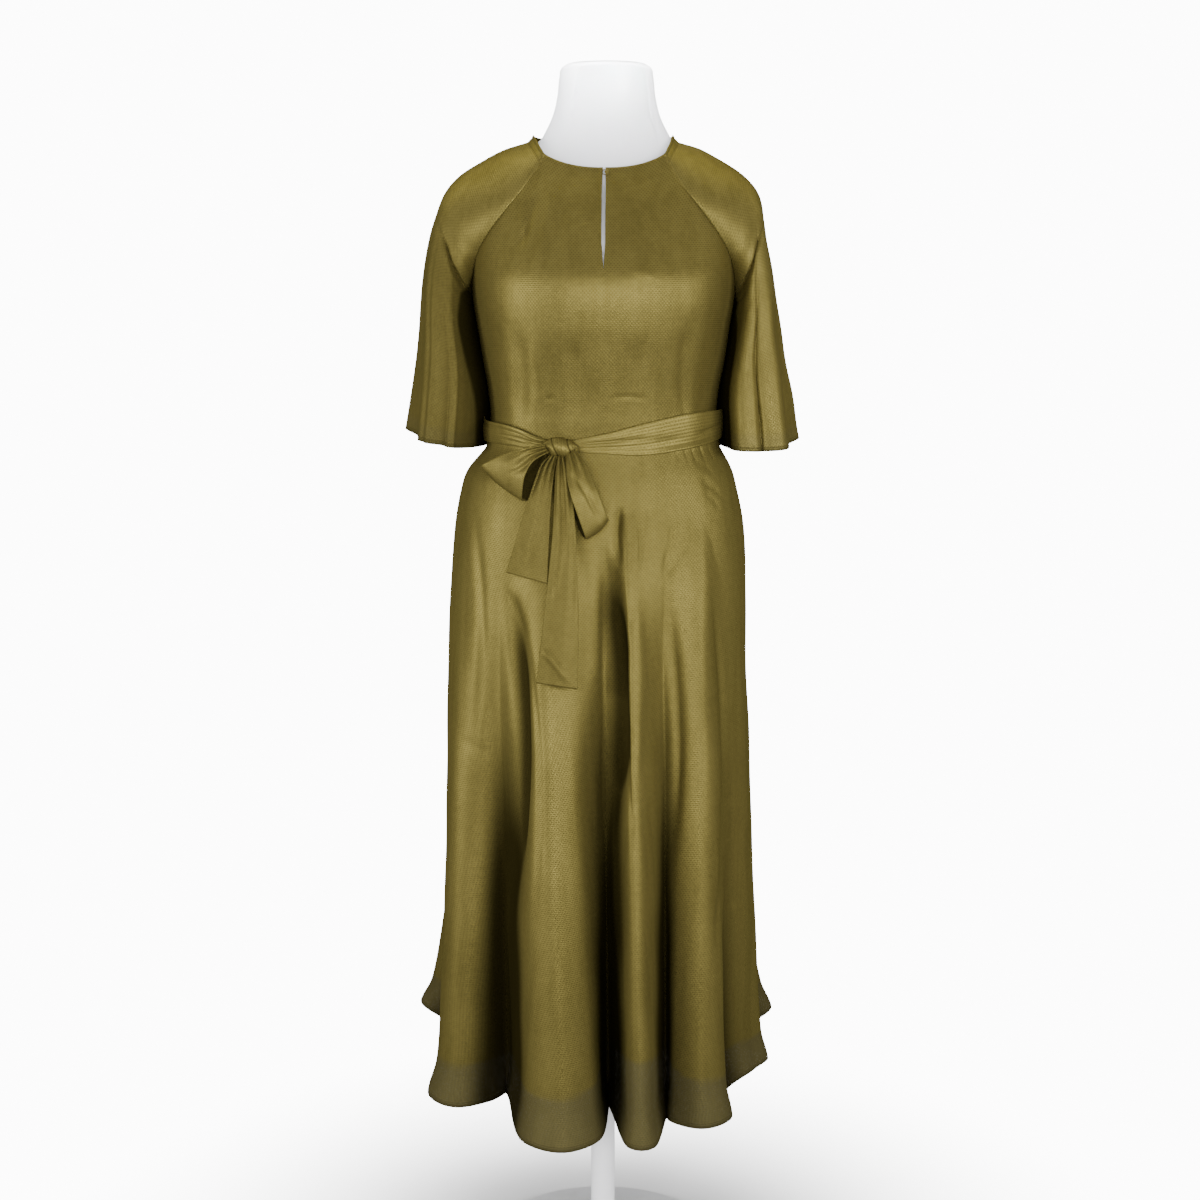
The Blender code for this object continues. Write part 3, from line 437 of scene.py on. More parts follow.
def satinCloth(name, hem=False, dots=1.0, inside=False, rough=0.34, metal=0.60):
    desk = Desk(name)
    place = desk.place()
    across, down = desk.grain()
    row = down / satin["dotDown"]
    step = row.of("FLOOR") * 0.5
    column = across / satin["dotAcross"] + step
    besideDot = (column.of("FRACT") - 0.5) * satin["dotShape"][0]
    overDot = (row.of("FRACT") - 0.5) * satin["dotShape"][1]
    dot = (besideDot * besideDot + overDot * overDot).band(0.25, 1.0, 1.0, 0.0)
    lines = (down * (2 * math.pi / satin["lineDown"])).of("SINE") * 0.5 + 0.5
    threads = (across * (2 * math.pi / satin["threadAcross"])).of("SINE") * 0.5 + 0.5
    cloud = desk.noise(place, 9.0, 3.0)
    slub = desk.noise(place, 160.0, 2.0)
    long = desk.put("ShaderNodeMapping", {}, {"Vector": place, "Scale": (60.0, 60.0, 5.0)})
    streak = desk.noise(long, 1.0, 3.0)
    tone = (cloud.band(0.35, 0.68) * 0.22 + lines * 0.26 + slub.band(0.35, 0.65) * 0.14
            + streak.band(0.40, 0.66) * 0.22)
    colour = desk.mix(tone, satin["thread"], satin["shade"])
    colour = desk.mix(dot * (0.65 * dots), colour, satin["dot"])
    # painted shade: this painted attribute darkens the colour towards the valley colour, cuts the metallic sheen and
    # roughens the surface
    paintedShade = desk.painted("paintedShade")
    roughness = rough + cloud * 0.07 + dot * 0.10 + lines * 0.03 + paintedShade * 0.3
    crumple = desk.noise(place, 26.0, 4.0)
    height = crumple * 4.0 + slub * 0.3 + lines * (0.25 + 0.2 * (1 - dots)) + threads * 0.15 - dot * (0.9 * dots)
    values = {"Metallic": (1 - paintedShade) * metal, "Specular IOR Level": 0.0, "Specular Tint": satin["gloss"]}
    if hem:
        edge = desk.painted("toHem")
        liningTop = desk.painted("sheer")
        roll = edge.band(satin["rolledHem"] * 0.8, satin["rolledHem"], 1.0, 0.0)
        stitch = (edge - satin["rolledHem"] * 1.15).of("ABSOLUTE").band(0.0002, 0.0007, 1.0, 0.0)
        dash = (across / satin["stitchAcross"]).of("FRACT").band(0.60, 0.75, 1.0, 0.0)
        colour = desk.mix(roll * 0.35 + stitch * dash * 0.5, colour, satin["dot"])
        height = height + roll * 2.2 - stitch * 1.4
        # painted shade: the unlined band at the hem is mixed towards the thin colour, which stands for the dark
        # inside seen through the cloth
        colour = desk.mix(liningTop * 0.55, colour, satin["thin"])
        values["Alpha"] = 1.0 - liningTop * (1.0 - roll) * satin["sheer"]
    # painted shade mixed into the base colour
    values["Base Color"] = desk.mix(paintedShade * 0.92, colour, satin["valley"])
    # inside faces: the dull back of the satin has no metallic sheen, and its colour is pulled most of the way to the
    # valley colour as painted shade
    if inside:
        values["Base Color"] = desk.mix(0.72, colour, satin["valley"])
        values["Metallic"] = 0.0
    values["Roughness"] = roughness
    values["Normal"] = desk.bump(0.5, 0.0004, height)
    return desk.finish(values)


def liningCloth():
    desk = Desk("liningCloth")
    place = desk.place()
    across, down = desk.grain()
    weave = (across * 5200.0).of("SINE") * (down * 5200.0).of("SINE")
    cloud = desk.noise(place, 12.0)
    edge = desk.painted("toHem")
    stitch = edge.band(0.010, 0.0106, 1.0, 0.0)
    colour = desk.mix(cloud * 0.4 + stitch * 0.35, (0.085, 0.068, 0.018, 1.0), (0.050, 0.040, 0.010, 1.0))
    bump = desk.bump(0.2, 0.0002, weave + stitch * 2.0)
    return desk.finish({"Base Color": colour, "Roughness": 0.62 + cloud * 0.08, "Normal": bump})


def formCover():
    desk = Desk("formCover")
    place = desk.place()
    knit = desk.noise(place, 900.0, 1.0)
    cloud = desk.noise(place, 14.0)
    colour = desk.mix(cloud.band(0.35, 0.7), (0.94, 0.95, 0.97, 1.0), (0.91, 0.92, 0.95, 1.0))
    bump = desk.bump(0.15, 0.0003, knit + cloud * 2.0)
    return desk.finish({"Base Color": colour, "Roughness": 0.72 + knit * 0.1, "Normal": bump,
                        "Sheen Weight": 0.15, "Specular IOR Level": 0.3})


def whitePaint():
    desk = Desk("whitePaint")
    place = desk.place()
    grit = desk.noise(place, 420.0, 2.0)
    wear = desk.noise(place, 22.0, 4.0)
    colour = desk.mix(wear.band(0.55, 0.75) * 0.35, (0.84, 0.84, 0.85, 1.0), (0.70, 0.69, 0.67, 1.0))
    bump = desk.bump(0.12, 0.0003, grit)
    return desk.finish({"Base Color": colour, "Roughness": 0.34 + wear * 0.14, "Normal": bump})


olive = satinCloth("oliveSatin", dots=0.6, rough=0.37)
oliveHem = satinCloth("oliveSatinHem", hem=True, dots=0.45, rough=0.40, metal=0.48)
oliveSash = satinCloth("oliveSatinSash", dots=0.3, rough=0.36, metal=0.50)
oliveInsideShaded = satinCloth("oliveSatinInsidePaintedShade", dots=0.3, inside=True)
oliveHemInsideShaded = satinCloth("oliveSatinHemInsidePaintedShade", hem=True, dots=0.3, inside=True)
lineIt = liningCloth()
cover = formCover()
paint = whitePaint()
print("materials made")


def settle(piece, material, slot, *nodes):
    piece.data.materials.clear()
    piece.data.materials.append(material)
    if "wall" in piece.modifiers:
        piece.data.materials.append({olive: oliveInsideShaded, oliveHem: oliveHemInsideShaded}.get(material, material))
    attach(piece, "root")
    if nodes:
        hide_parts(*nodes)
    return piece


# --- bodice

keyhole = {"end": 1.302, "width": 0.0046}

frontMarks = table(
    "ax az bx bz width depth sharp",
    (-0.08, 1.4, -0.11, 1.32, 0.005, -0.0024, 0.4),
    (-0.094, 1.398, -0.1, 1.318, 0.0034, -0.0014, 0.2),
    (-0.066, 1.4, -0.086, 1.29, 0.006, 0.0013, 0),
    (-0.052, 1.39, -0.062, 1.28, 0.0055, -0.001, 0),
    (-0.11, 1.25, -0.104, 1.1, 0.012, -0.0024, 0.4),
    (-0.088, 1.24, -0.09, 1.1, 0.012, 0.0009, 0),
    (0.104, 1.25, 0.104, 1.1, 0.01, -0.0032, -0.6),
    (0.084, 1.24, 0.09, 1.1, 0.011, 0.001, 0),
    (-0.04, 1.23, -0.034, 1.095, 0.012, -0.0014, 0),
    (-0.01, 1.22, -0.014, 1.095, 0.01, 0.0009, 0),
    (0.034, 1.23, 0.038, 1.095, 0.013, -0.0013, 0),
    (0.1, 1.126, 0.093, 1.098, 0.0028, -0.0022, -0.6),
    (0.006, 1.148, 0.056, 1.147, 0.002, -0.001, 0.3),
    (-0.072, 1.147, -0.06, 1.146, 0.002, -0.001, 0),
    (-0.03, 1.356, -0.012, 1.362, 0.002, -0.0008, 0),
    (0.03, 1.3, 0.07, 1.292, 0.008, 0.001, 0),
    (0, 1.31, 0, 1.098, 0.0011, 0.0005, 0),
)

backMarks = table(
    "ax az bx bz width depth sharp",
    (0, 1.47, 0, 1.085, 0.0009, -0.0006, 0),
    (-0.062, 1.29, -0.056, 1.12, 0.005, -0.002, 0.5),
    (0.064, 1.3, 0.058, 1.12, 0.0055, -0.0021, -0.5),
    (-0.1, 1.26, -0.092, 1.13, 0.009, 0.0014, 0),
    (0.104, 1.25, 0.09, 1.13, 0.0085, 0.0013, 0),
    (-0.03, 1.18, 0.034, 1.172, 0.006, -0.0012, 0.2),
    (0.03, 1.15, -0.04, 1.142, 0.0055, -0.0011, -0.2),
    (-0.118, 1.4, -0.07, 1.36, 0.008, -0.0016, 0.4),
    (0.112, 1.395, 0.062, 1.35, 0.008, -0.0016, -0.4),
    (-0.02, 1.43, -0.012, 1.3, 0.01, 0.001, 0),
)


def bodicePanel(face, lower=70, upper=90, columns=150):
    front = face == "front"
    top = dress["neckCorner"] if front else dress["backNeck"]
    start = dress["waist"] - 0.004
    height = [span(start, dress["underarm"], lower)[:-1], span(dress["underarm"], top, upper)]
    height = np.concatenate(height)[:, None]
    across = span(-1.0, 1.0, columns + 1)[None, :]
    rise = ease((height - dress["underarm"]) / (top - dress["underarm"]))
    dip = (dress["frontDip"] if front else dress["backDip"]) * rise * rise
    z = height - dip * (1 - across ** 2)
    angle = across * raglanAngle(height, face)
    points = bodySection(bodice, angle if front else math.pi - angle, z)
    normal = outward(points)
    toSeam = np.minimum(1 - np.abs(across), 1.0) * 0.16 + 0 * height
    push = marksOn(points, frontMarks if front else backMarks, 1.0)
    push = push + ripple(points, 3 if front else 8, 0.085, 0.0006)
    push = push * ease(toSeam / 0.02) - 0.0005 * np.exp(-(toSeam / 0.0030) ** 2)
    push = push - 0.0016 * ease((1.122 - z) / 0.030)
    edge = np.linalg.norm(np.diff(points[:, columns // 2], axis=0), axis=-1)
    toNeck = np.concatenate([np.cumsum(edge[::-1])[::-1], [0.0]])[:, None]
    push = push + 0.0005 * ease((0.0035 - toNeck) / 0.0012)
    points = points + normal * push[..., None]
    return points, grainOf(points, columns // 2)


def keyholeHalf(z):
    share = (z - keyhole["end"]) / (dress["neckCorner"] - dress["frontDip"] - keyhole["end"])
    opened = np.minimum(1.0, 4.0 * share) * (1.0 - 0.30 * np.maximum(0.0, share - 0.75) / 0.25)
    return np.where(share <= 0.0, 0.0, keyhole["width"] / 2 * opened)


def makeBodiceFront():
    points, grain = bodicePanel("front")
    middle = points.shape[1] // 2
    patches = []
    for side in (-1, 1):
        part = slice(0, middle + 1) if side < 0 else slice(middle, None)
        half = points[:, part].copy()
        reach = np.abs(half[..., 0] - points[:, middle:middle + 1, 0])
        near = np.exp(-(reach / 0.020) ** 2)
        half[..., 0] += side * keyholeHalf(points[:, middle, 2])[:, None] * near
        along = ease((points[:, middle, 2] - keyhole["end"] + 0.004) / 0.006)[:, None]
        half[..., 1] -= 0.0007 * along * np.exp(-(reach / 0.0060) ** 2)
        half[..., 1] -= 0.0003 * along * np.exp(-((reach - 0.0012) / 0.0014) ** 2)
        half[..., 1] += 0.0004 * along * np.exp(-((reach - 0.0046) / 0.0007) ** 2)
        patches.append((half, grain[:, part], {}))
    sheet = bmesh.new()
    for patch in patches:
        draft = layGrid("bodiceDraft", *patch, 0.0)
        sheet.from_mesh(draft.data)
        bpy.data.objects.remove(draft)
    bmesh.ops.remove_doubles(sheet, verts=sheet.verts, dist=1e-6)
    return newPiece("bodiceFront", sheet, dress["cloth"])


bodiceFront = settle(makeBodiceFront(), olive, "dress_satin", "bodice_front")
bodiceBack = layGrid("bodiceBack", *bodicePanel("back"), {}, dress["cloth"])
settle(bodiceBack, olive, "dress_satin", "bodice_back")
print("bodice made")


# --- sleeves

sleeveFolds = {
    1: table(  # the viewer's right: place round from the inner line, width, depth outwards, start
        "place width depth start drift",
        (0.17, 0.055, 0.01, 0.4, 0),
        (0.27, 0.05, -0.011, 0.22, 0),
        (0.36, 0.05, 0.009, 0.35, 0),
        (0.44, 0.04, -0.006, 0.5, 0),
        (0.6, 0.06, -0.01, 0.4, 0),
        (0.7, 0.055, 0.011, 0.35, 0),
        (0.8, 0.05, -0.009, 0.45, 0),
        (0.3, 0.01, -0.0026, 0.25, -0.02),
        (0.225, 0.012, 0.0018, 0.55, 0.01),
        (0.405, 0.012, 0.0016, 0.6, 0),
        (0.655, 0.014, 0.0016, 0.6, 0),
    ),
    -1: table(
        "place width depth start drift",
        (0.17, 0.055, 0.01, 0.4, 0),
        (0.27, 0.05, -0.011, 0.22, 0),
        (0.36, 0.05, 0.009, 0.35, 0),
        (0.44, 0.04, -0.006, 0.5, 0),
        (0.6, 0.06, -0.01, 0.4, 0),
        (0.7, 0.055, 0.011, 0.35, 0),
        (0.8, 0.05, -0.009, 0.45, 0),
        (0.17, 0.065, -0.018, 0.36, 0),
        (0.33, 0.012, -0.003, 0.2, 0.03),
        (0.19, 0.012, 0.002, 0.45, 0.01),
        (0.33, 0.016, 0.0016, 0.5, 0),
        (0.73, 0.014, 0.0016, 0.6, 0),
    ),
}

sleeveShadow = table(  # how far round from the inner line the painted shade of the recess beside the bodice reaches
    "t left right",
    (0.24, 0, 0),
    (0.3, 0.014, 0.01),
    (0.36, 0.03, 0.02),
    (0.42, 0.06, 0.03),
    (0.5, 0.14, 0.08),
    (0.6, 0.18, 0.13),
    (0.7, 0.17, 0.15),
    (0.85, 0.13, 0.15),
    (1, 0.11, 0.15),
)

sleeve = {"rows": 150, "columns": 200, "lift": {1: -0.006, -1: 0.006}, "wider": {1: 0.000, -1: 0.013},
          "rowAtUnderarm": 0.5, "tuckIn": 0.0014}


def sleeveSurface(side):
    t = span(0.0, 1.0, sleeve["rows"])
    half = sleeve["rowAtUnderarm"]
    edges = []
    for face, top in (("front", dress["sleeveTop"]), ("back", dress["backNeck"])):
        z = top + (dress["underarm"] - top) * np.minimum(t / half, 1.0)
        angle = raglanAngle(z, face)
        edge = bodySection(bodice, side * (angle if face == "front" else math.pi - angle), z)
        edge[:, 0] = side * edge[:, 0] - dress["lap"] * ease((half - t) / 0.03)
        line = looks(sleeveInner, "x y z", "t", t)
        line[:, 0] += side * look(bodice, "cx", "z", line[:, 2])
        line[:, 0] -= sleeve["tuckIn"] * np.exp(-((t - 0.54) / 0.05) ** 2)
        edges.append(np.where((t < half)[:, None], edge, line))
    outer = looks(sleeveOuter, "x y z", "t", t)
    outer[:, 0] += sleeve["wider"][side] * np.exp(-((t - 0.62) / 0.22) ** 2)
    ahead = looks(sleeveBulge, "in_x in_y in_z", "t", t)
    aside = looks(sleeveBulge, "out_x out_y out_z", "t", t)
    behind = looks(sleeveBulge, "in_x back_y back_z", "t", t)
    forward = aside * np.array([1.0, -1.0, 1.0])

    def curve(a, b, c, d, share):
        s = share[None, :, None]
        a, b, c, d = (v[:, None] for v in (a, b, c, d))
        return a * (1 - s) ** 3 + 3 * b * s * (1 - s) ** 2 + 3 * c * s * s * (1 - s) + d * s ** 3

    share = span(0.0, 1.0, sleeve["columns"] // 2 + 1)
    front = curve(edges[0], edges[0] + ahead, outer + forward, outer, share)
    back = curve(outer, outer + aside, edges[1] + behind, edges[1], share)
    points = np.concatenate([front, back[:, 1:]], axis=1)

    place = span(0.0, 1.0, points.shape[1])[None, :]
    down = t[:, None]
    across = np.gradient(points, axis=1)
    inward = unit(np.stack([-across[..., 1], across[..., 0], 0 * across[..., 0]], axis=-1))
    push = 0 * (place + down)
    for middle, width, depth, start, drift in rowsOf(sleeveFolds[side], "place width depth start drift"):
        grown = ease((down - start) / (1 - start))
        push = push + depth * grown * np.exp(-((place - middle - drift * down) / width) ** 2)
    points = points - inward * push[..., None]
    points[..., 2] += sleeve["lift"][side] * down ** 3 * np.sin(math.pi * place) ** 2
    toSeam = np.minimum(place, 1 - place) * 0.45 + 0 * down
    tuck = 0.0018 * np.exp(-(toSeam / 0.0040) ** 2) * ease((half - down) / 0.05)
    normal = outward(points)
    points = points - normal * tuck[..., None]
    uneven = ripple(points, 20 + side, 0.075, 0.0008) * ease(down / 0.1) * ease(toSeam / 0.02)
    points = points + normal * uneven[..., None]
    closed = down[:, 0] >= half - 1e-6
    points[closed, -1] = points[closed, 0]
    points[..., 0] *= side
    length = np.linalg.norm(np.diff(points, axis=0), axis=-1)
    toHem = np.concatenate([np.cumsum(length[::-1], axis=0)[::-1], np.zeros((1, points.shape[1]))])
    # the sleeve's hem band, which takes a little of the thin colour's painted shade
    sheer = ease((0.026 - toHem) / 0.010) * 0.30
    shadow = look(sleeveShadow, "left" if side < 0 else "right", "t", down)
    # painted shade in the recess beside the bodice and near the back end of each row, growing from a quarter of the
    # way down
    hidden = np.maximum(ease((shadow - place) / 0.035), ease((place - 0.90) / 0.05))
    paintedShade = 0.97 * hidden * ease((down - 0.24) / 0.08)
    # painted shade over the lower left sleeve, darker than its lamps leave it
    if side < 0:
        paintedShade = np.maximum(paintedShade, 0.38 * ease((down - 0.33) / 0.24))
    return points, grainOf(points, points.shape[1] // 2), {"toHem": toHem, "sheer": sheer, "paintedShade": paintedShade}


for side, name, node in ((1, "sleeveRight", "sleeve_right"), (-1, "sleeveLeft", "sleeve_left")):
    piece = layGrid(name, *sleeveSurface(side), dress["cloth"], closed=True)
    settle(piece, oliveHem, "dress_satin", node)
print("sleeves made")


# --- skirt and the lining that shows through its hem

hang = {"columns": 60, "steps": 48, "rows": 150, "shoulder": 0.75, "middle": (-0.005, 0.0),
        "liningShown": 0.095, "liningIn": 0.0018, "liningCloth": 0.0006,
        "deepFrom": 0.024, "deepOver": 0.055, "flip": 0.0055, "flipFrom": 0.050}

skirtFrontMarks = table(
    "ax az bx bz width depth sharp",
    (-0.121, 0.915, -0.096, 0.85, 0.005, -0.0026, 0.4),
    (-0.097, 0.88, -0.088, 0.48, 0.0036, -0.0018, 0.4),
    (-0.117, 0.945, -0.125, 0.47, 0.011, -0.0125, 0.4),
    (-0.164, 1.03, -0.166, 0.68, 0.006, -0.0022, 0.3),
    (0.021, 1.024, 0.02, 0.94, 0.0065, -0.005, -0.4),
    (0.041, 1.01, 0.042, 0.93, 0.0034, -0.002, 0.6),
    (0.043, 0.96, 0.047, 0.54, 0.0042, -0.003, -0.5),
    (0, 0.985, 0.001, 0.58, 0.013, -0.015, 0),
    (0.03, 0.96, 0.03, 0.64, 0.008, 0.0022, 0),
    (-0.034, 1, -0.026, 0.76, 0.009, -0.0022, 0),
    (0.076, 0.93, 0.08, 0.56, 0.008, -0.006, 0.3),
    (0.085, 1, 0.072, 0.93, 0.006, -0.0026, 0.4),
    (0.118, 1.046, 0.15, 1.024, 0.0035, -0.0016, 0.3),
    (0.124, 1.03, 0.146, 1.012, 0.003, -0.0013, 0.3),
    (0.104, 0.985, 0.07, 0.92, 0.005, -0.002, 0),
    (0.131, 0.94, 0.131, 0.42, 0.005, -0.0032, 0.5),
    (-0.15, 0.9, -0.16, 0.52, 0.01, -0.0022, 0),
    (0.125, 0.77, 0.178, 0.778, 0.003, -0.0013, 0.3),
    (0.13, 0.64, 0.182, 0.636, 0.003, -0.0014, 0.3),
    (0.128, 0.594, 0.18, 0.6, 0.003, -0.0012, -0.3),
    (0.12, 0.505, 0.186, 0.498, 0.0035, -0.0013, 0.3),
    (0.14, 0.56, 0.172, 0.47, 0.003, -0.0011, 0),
    (-0.185, 0.72, -0.14, 0.7, 0.004, -0.001, 0),
    (0.016, 0.72, 0.06, 0.7, 0.0035, -0.0009, 0),
    (-0.1, 1.074, -0.106, 1.06, 0.0022, -0.001, 0),
    (-0.122, 1.076, -0.128, 1.06, 0.0022, -0.001, 0),
    (0.088, 1.088, 0.092, 1.07, 0.0018, -0.001, 0),
    (0.098, 1.09, 0.104, 1.066, 0.0018, -0.0012, 0.3),
    (0.107, 1.09, 0.115, 1.064, 0.0018, -0.0012, 0.3),
    (0.117, 1.092, 0.127, 1.064, 0.0018, -0.0012, 0.3),
    (0.127, 1.092, 0.139, 1.066, 0.0018, -0.0011, 0.3),
    (0.112, 1.07, 0.14, 1.052, 0.0022, -0.001, 0.3),
)

skirtRecess = table(  # painted shade along valleys: depths here are how dark the painted shade is, 1 being unlit
    "ax az bx bz width depth sharp",
    (-0.002, 0.76, 0.008, 0.36, 0.011, 0.85, 0),
    (-0.123, 0.76, -0.121, 0.4, 0.011, 0.55, 0),
)

skirtBackMarks = table(
    "ax az bx bz width depth sharp",
    (-0.11, 0.8, 0.02, 0.79, 0.005, -0.0012, 0.3),
    (0.09, 0.64, -0.03, 0.632, 0.005, -0.0012, 0.3),
    (-0.1, 0.48, 0.05, 0.488, 0.006, -0.0013, 0.3),
    (0.05, 1.06, 0.064, 0.96, 0.006, -0.002, 0.4),
    (-0.06, 1.062, -0.072, 0.95, 0.006, -0.0022, -0.4),
)


def foldLine():
    # the hem as one folded line, with what each of its points takes from the table
    count = len(folds["x"])
    valley = np.stack([folds["valleyX"], folds["valleyY"]], axis=-1)
    crest = np.stack([folds["x"], folds["y"]], axis=-1)
    width = folds["width"][:, None]
    out = unit(crest - (valley + np.roll(valley, -1, axis=0)) / 2)
    along = np.stack([-out[:, 1], out[:, 0]], axis=-1)
    first = crest - hang["shoulder"] * width * out - width * along
    second = crest - hang["shoulder"] * width * out + width * along
    corners = np.stack([valley, first, crest, second], axis=1).reshape(-1, 2)
    spots, settings = [], []
    for fold in range(count):
        spans = [roundedSpan(corners, 4 * fold + k) for k in range(4)]
        crestAt = len(spans[0]) + len(spans[1])
        line = np.concatenate(spans + [corners[(4 * fold + 4) % len(corners)][None]])
        run = np.concatenate([[0], np.cumsum(np.linalg.norm(np.diff(line, axis=0), axis=-1))])
        wanted = span(0.0, run[-1], hang["columns"] + 1)[:-1]
        spots.append(np.stack([np.interp(wanted, run, line[:, k]) for k in (0, 1)], axis=-1))
        stops = [0.0, run[crestAt], run[-1]]
        follow = (fold + 1) % count
        turns = [folds["valleyTurn"][fold], folds["turn"][fold],
                 folds["valleyTurn"][follow] + (360.0 if follow == 0 else 0.0)]
        columns = [np.interp(wanted, stops, turns)]
        for name in ("start", "late", "hem", "rise"):
            here = folds[name][fold]
            before = (folds[name][fold - 1] + here) / 2
            after = (folds[name][follow] + here) / 2
            share = np.interp(wanted, stops, [-1.0, 0.0, 1.0])
            columns.append(here + np.where(share < 0, before - here, after - here) * ease(np.abs(share)))
        settings.append(np.stack(columns, axis=-1))
    return np.concatenate(spots), np.concatenate(settings)


def roundedSpan(corners, k):
    p = [corners[(k + shift) % len(corners)] for shift in (-1, 0, 1, 2)]
    knots = [0.0]
    for a, b in zip(p, p[1:]):
        knots.append(knots[-1] + max(float(np.linalg.norm(b - a)), 1e-6) ** 0.5)
    t = np.linspace(knots[1], knots[2], hang["steps"], endpoint=False)[:, None]

    def between(a, b, low, high):
        return a * (high - t) / (high - low) + b * (t - low) / (high - low)

    a1 = between(p[0], p[1], knots[0], knots[1])
    a2 = between(p[1], p[2], knots[1], knots[2])
    a3 = between(p[2], p[3], knots[2], knots[3])
    b1 = between(a1, a2, knots[0], knots[2])
    b2 = between(a2, a3, knots[1], knots[3])
    return between(b1, b2, knots[1], knots[2])


def skirtSurface():
    spots, settings = foldLine()
    turn, start, late, hem, rise = settings.T
    angle = np.radians(turn)[None, :]
    part = span(0.0, 1.0, hang["rows"])[:, None] ** 1.1
    top = np.maximum(look(sash, "z", "turn", (turn + 180.0) % 360.0 - 180.0) - 0.003, dress["waist"])
    z = top + (hem[None, :] - top) * part
    points = bodySection(skirt, angle, z)
    points = np.where((z > dress["waist"])[..., None], bodySection(bodice, angle, z, -0.0007), points)
    atHem = bodySection(skirt, angle[0], hem)
    opened = np.clip((start - z) / (start - hem), 0.0, 1.05) ** late
    points[..., :2] += opened[..., None] * (spots - atHem[:, :2])[None]
    points = np.concatenate([points, points[:, :1]], axis=1)
    z = points[..., 2]
    edge = (hem + rise)[None, :]
    edge = np.concatenate([edge, edge[:, :1]], axis=1)
    return points, z, edge, bodySection(skirt, angle, z[:, :-1])


smoothSkirt, skirtZ, liningEdge, unfolded = skirtSurface()
skirtNormal = outward(smoothSkirt, closed=True)
below = ease((dress["waist"] - skirtZ) / 0.05)
frontSide = ease((0.06 - smoothSkirt[..., 1]) / 0.05)
skirtPush = marksOn(smoothSkirt, skirtFrontMarks, 1.0) * frontSide
skirtPush = skirtPush + marksOn(smoothSkirt, skirtBackMarks, 1.0) * (1 - frontSide)
skirtPush = skirtPush + ripple(smoothSkirt, 5, 0.13, 0.0012) * below
flip = ease((hang["flipFrom"] - (skirtZ - skirtZ[-1:])) / hang["flipFrom"]) ** 1.5
skirtPush = skirtPush + hang["flip"] * flip
skirtPoints = smoothSkirt + skirtNormal * skirtPush[..., None]
drop = np.linalg.norm(np.diff(skirtPoints, axis=0), axis=-1)
skirtToHem = np.concatenate([np.cumsum(drop[::-1], axis=0)[::-1], np.zeros((1, drop.shape[1]))])
# the unlined band at the hem, which takes the thin colour's painted shade and a little see-through
skirtSheer = ease((liningEdge + 0.002 - skirtZ) / 0.004)

# painted shade of the skirt: valleys that sit in from their neighbours, pressed troughs, the listed recess lines,
# and a darkening towards the hem
plain = np.linalg.norm(unfolded[..., :2] - np.array(hang["middle"]), axis=-1)
reach = np.linalg.norm(skirtPoints[:, :-1, :2] - np.array(hang["middle"]), axis=-1) / plain
around = np.max([np.roll(reach, shift, axis=1) for shift in range(-26, 27, 2)], axis=0)
skirtPaintedShade = ease(((around - reach) * plain - hang["deepFrom"]) / hang["deepOver"])
skirtPaintedShade = np.concatenate([skirtPaintedShade, skirtPaintedShade[:, :1]], axis=1)
skirtPaintedShade = np.maximum(skirtPaintedShade, 0.90 * ease((-skirtPush - 0.0025) / 0.0095) * frontSide)
skirtPaintedShade = np.maximum(skirtPaintedShade, marksOn(smoothSkirt, skirtRecess, 1.0) * frontSide)
# painted shade growing towards the hem, where the light falls off
skirtPaintedShade = 1 - (1 - skirtPaintedShade) * (1 - 0.44 * ease((0.50 - skirtToHem) / 0.54))

sideSeam = 5 * hang["columns"]
for name, node, cut, half in (("skirtFront", "skirt_front", 1.42, slice(0, sideSeam + 1)),
                              ("skirtBack", "skirt_back", 1.22, slice(sideSeam, None))):
    own = skirtPoints[:, half]
    grain = grainOf(own, own.shape[1] // 2)
    extras = {"toHem": skirtToHem[:, half], "sheer": skirtSheer[:, half], "paintedShade": skirtPaintedShade[:, half]}
    piece = settle(layGrid(name, own, grain, extras, dress["cloth"]), oliveHem, "dress_satin", node)
    cut * 0.52

share = span(0.0, 1.0, 28)[:, None]
liningZ = liningEdge + hang["liningShown"] * (1 - share)
liningPoints = np.empty(liningZ.shape + (3,))
liningOut = np.empty_like(liningPoints)
for column in range(liningZ.shape[1]):
    for k in range(3):
        liningPoints[:, column, k] = np.interp(-liningZ[:, column], -skirtZ[:, column], skirtPoints[:, column, k])
        liningOut[:, column, k] = np.interp(-liningZ[:, column], -skirtZ[:, column], skirtNormal[:, column, k])
liningPoints = liningPoints - unit(liningOut) * hang["liningIn"]
lining = layGrid("skirtLining", liningPoints, grainOf(liningPoints, 0), {"toHem": liningZ - liningEdge},
                 hang["liningCloth"], closed=True)
settle(lining, lineIt, "lining_cloth", "lining")
print("skirt and lining made")


# --- neck band, button and loop

band = {"cloth": 0.0011, "width": 0.0100, "rise": 1.10, "turn": 0.16, "rows": 12}


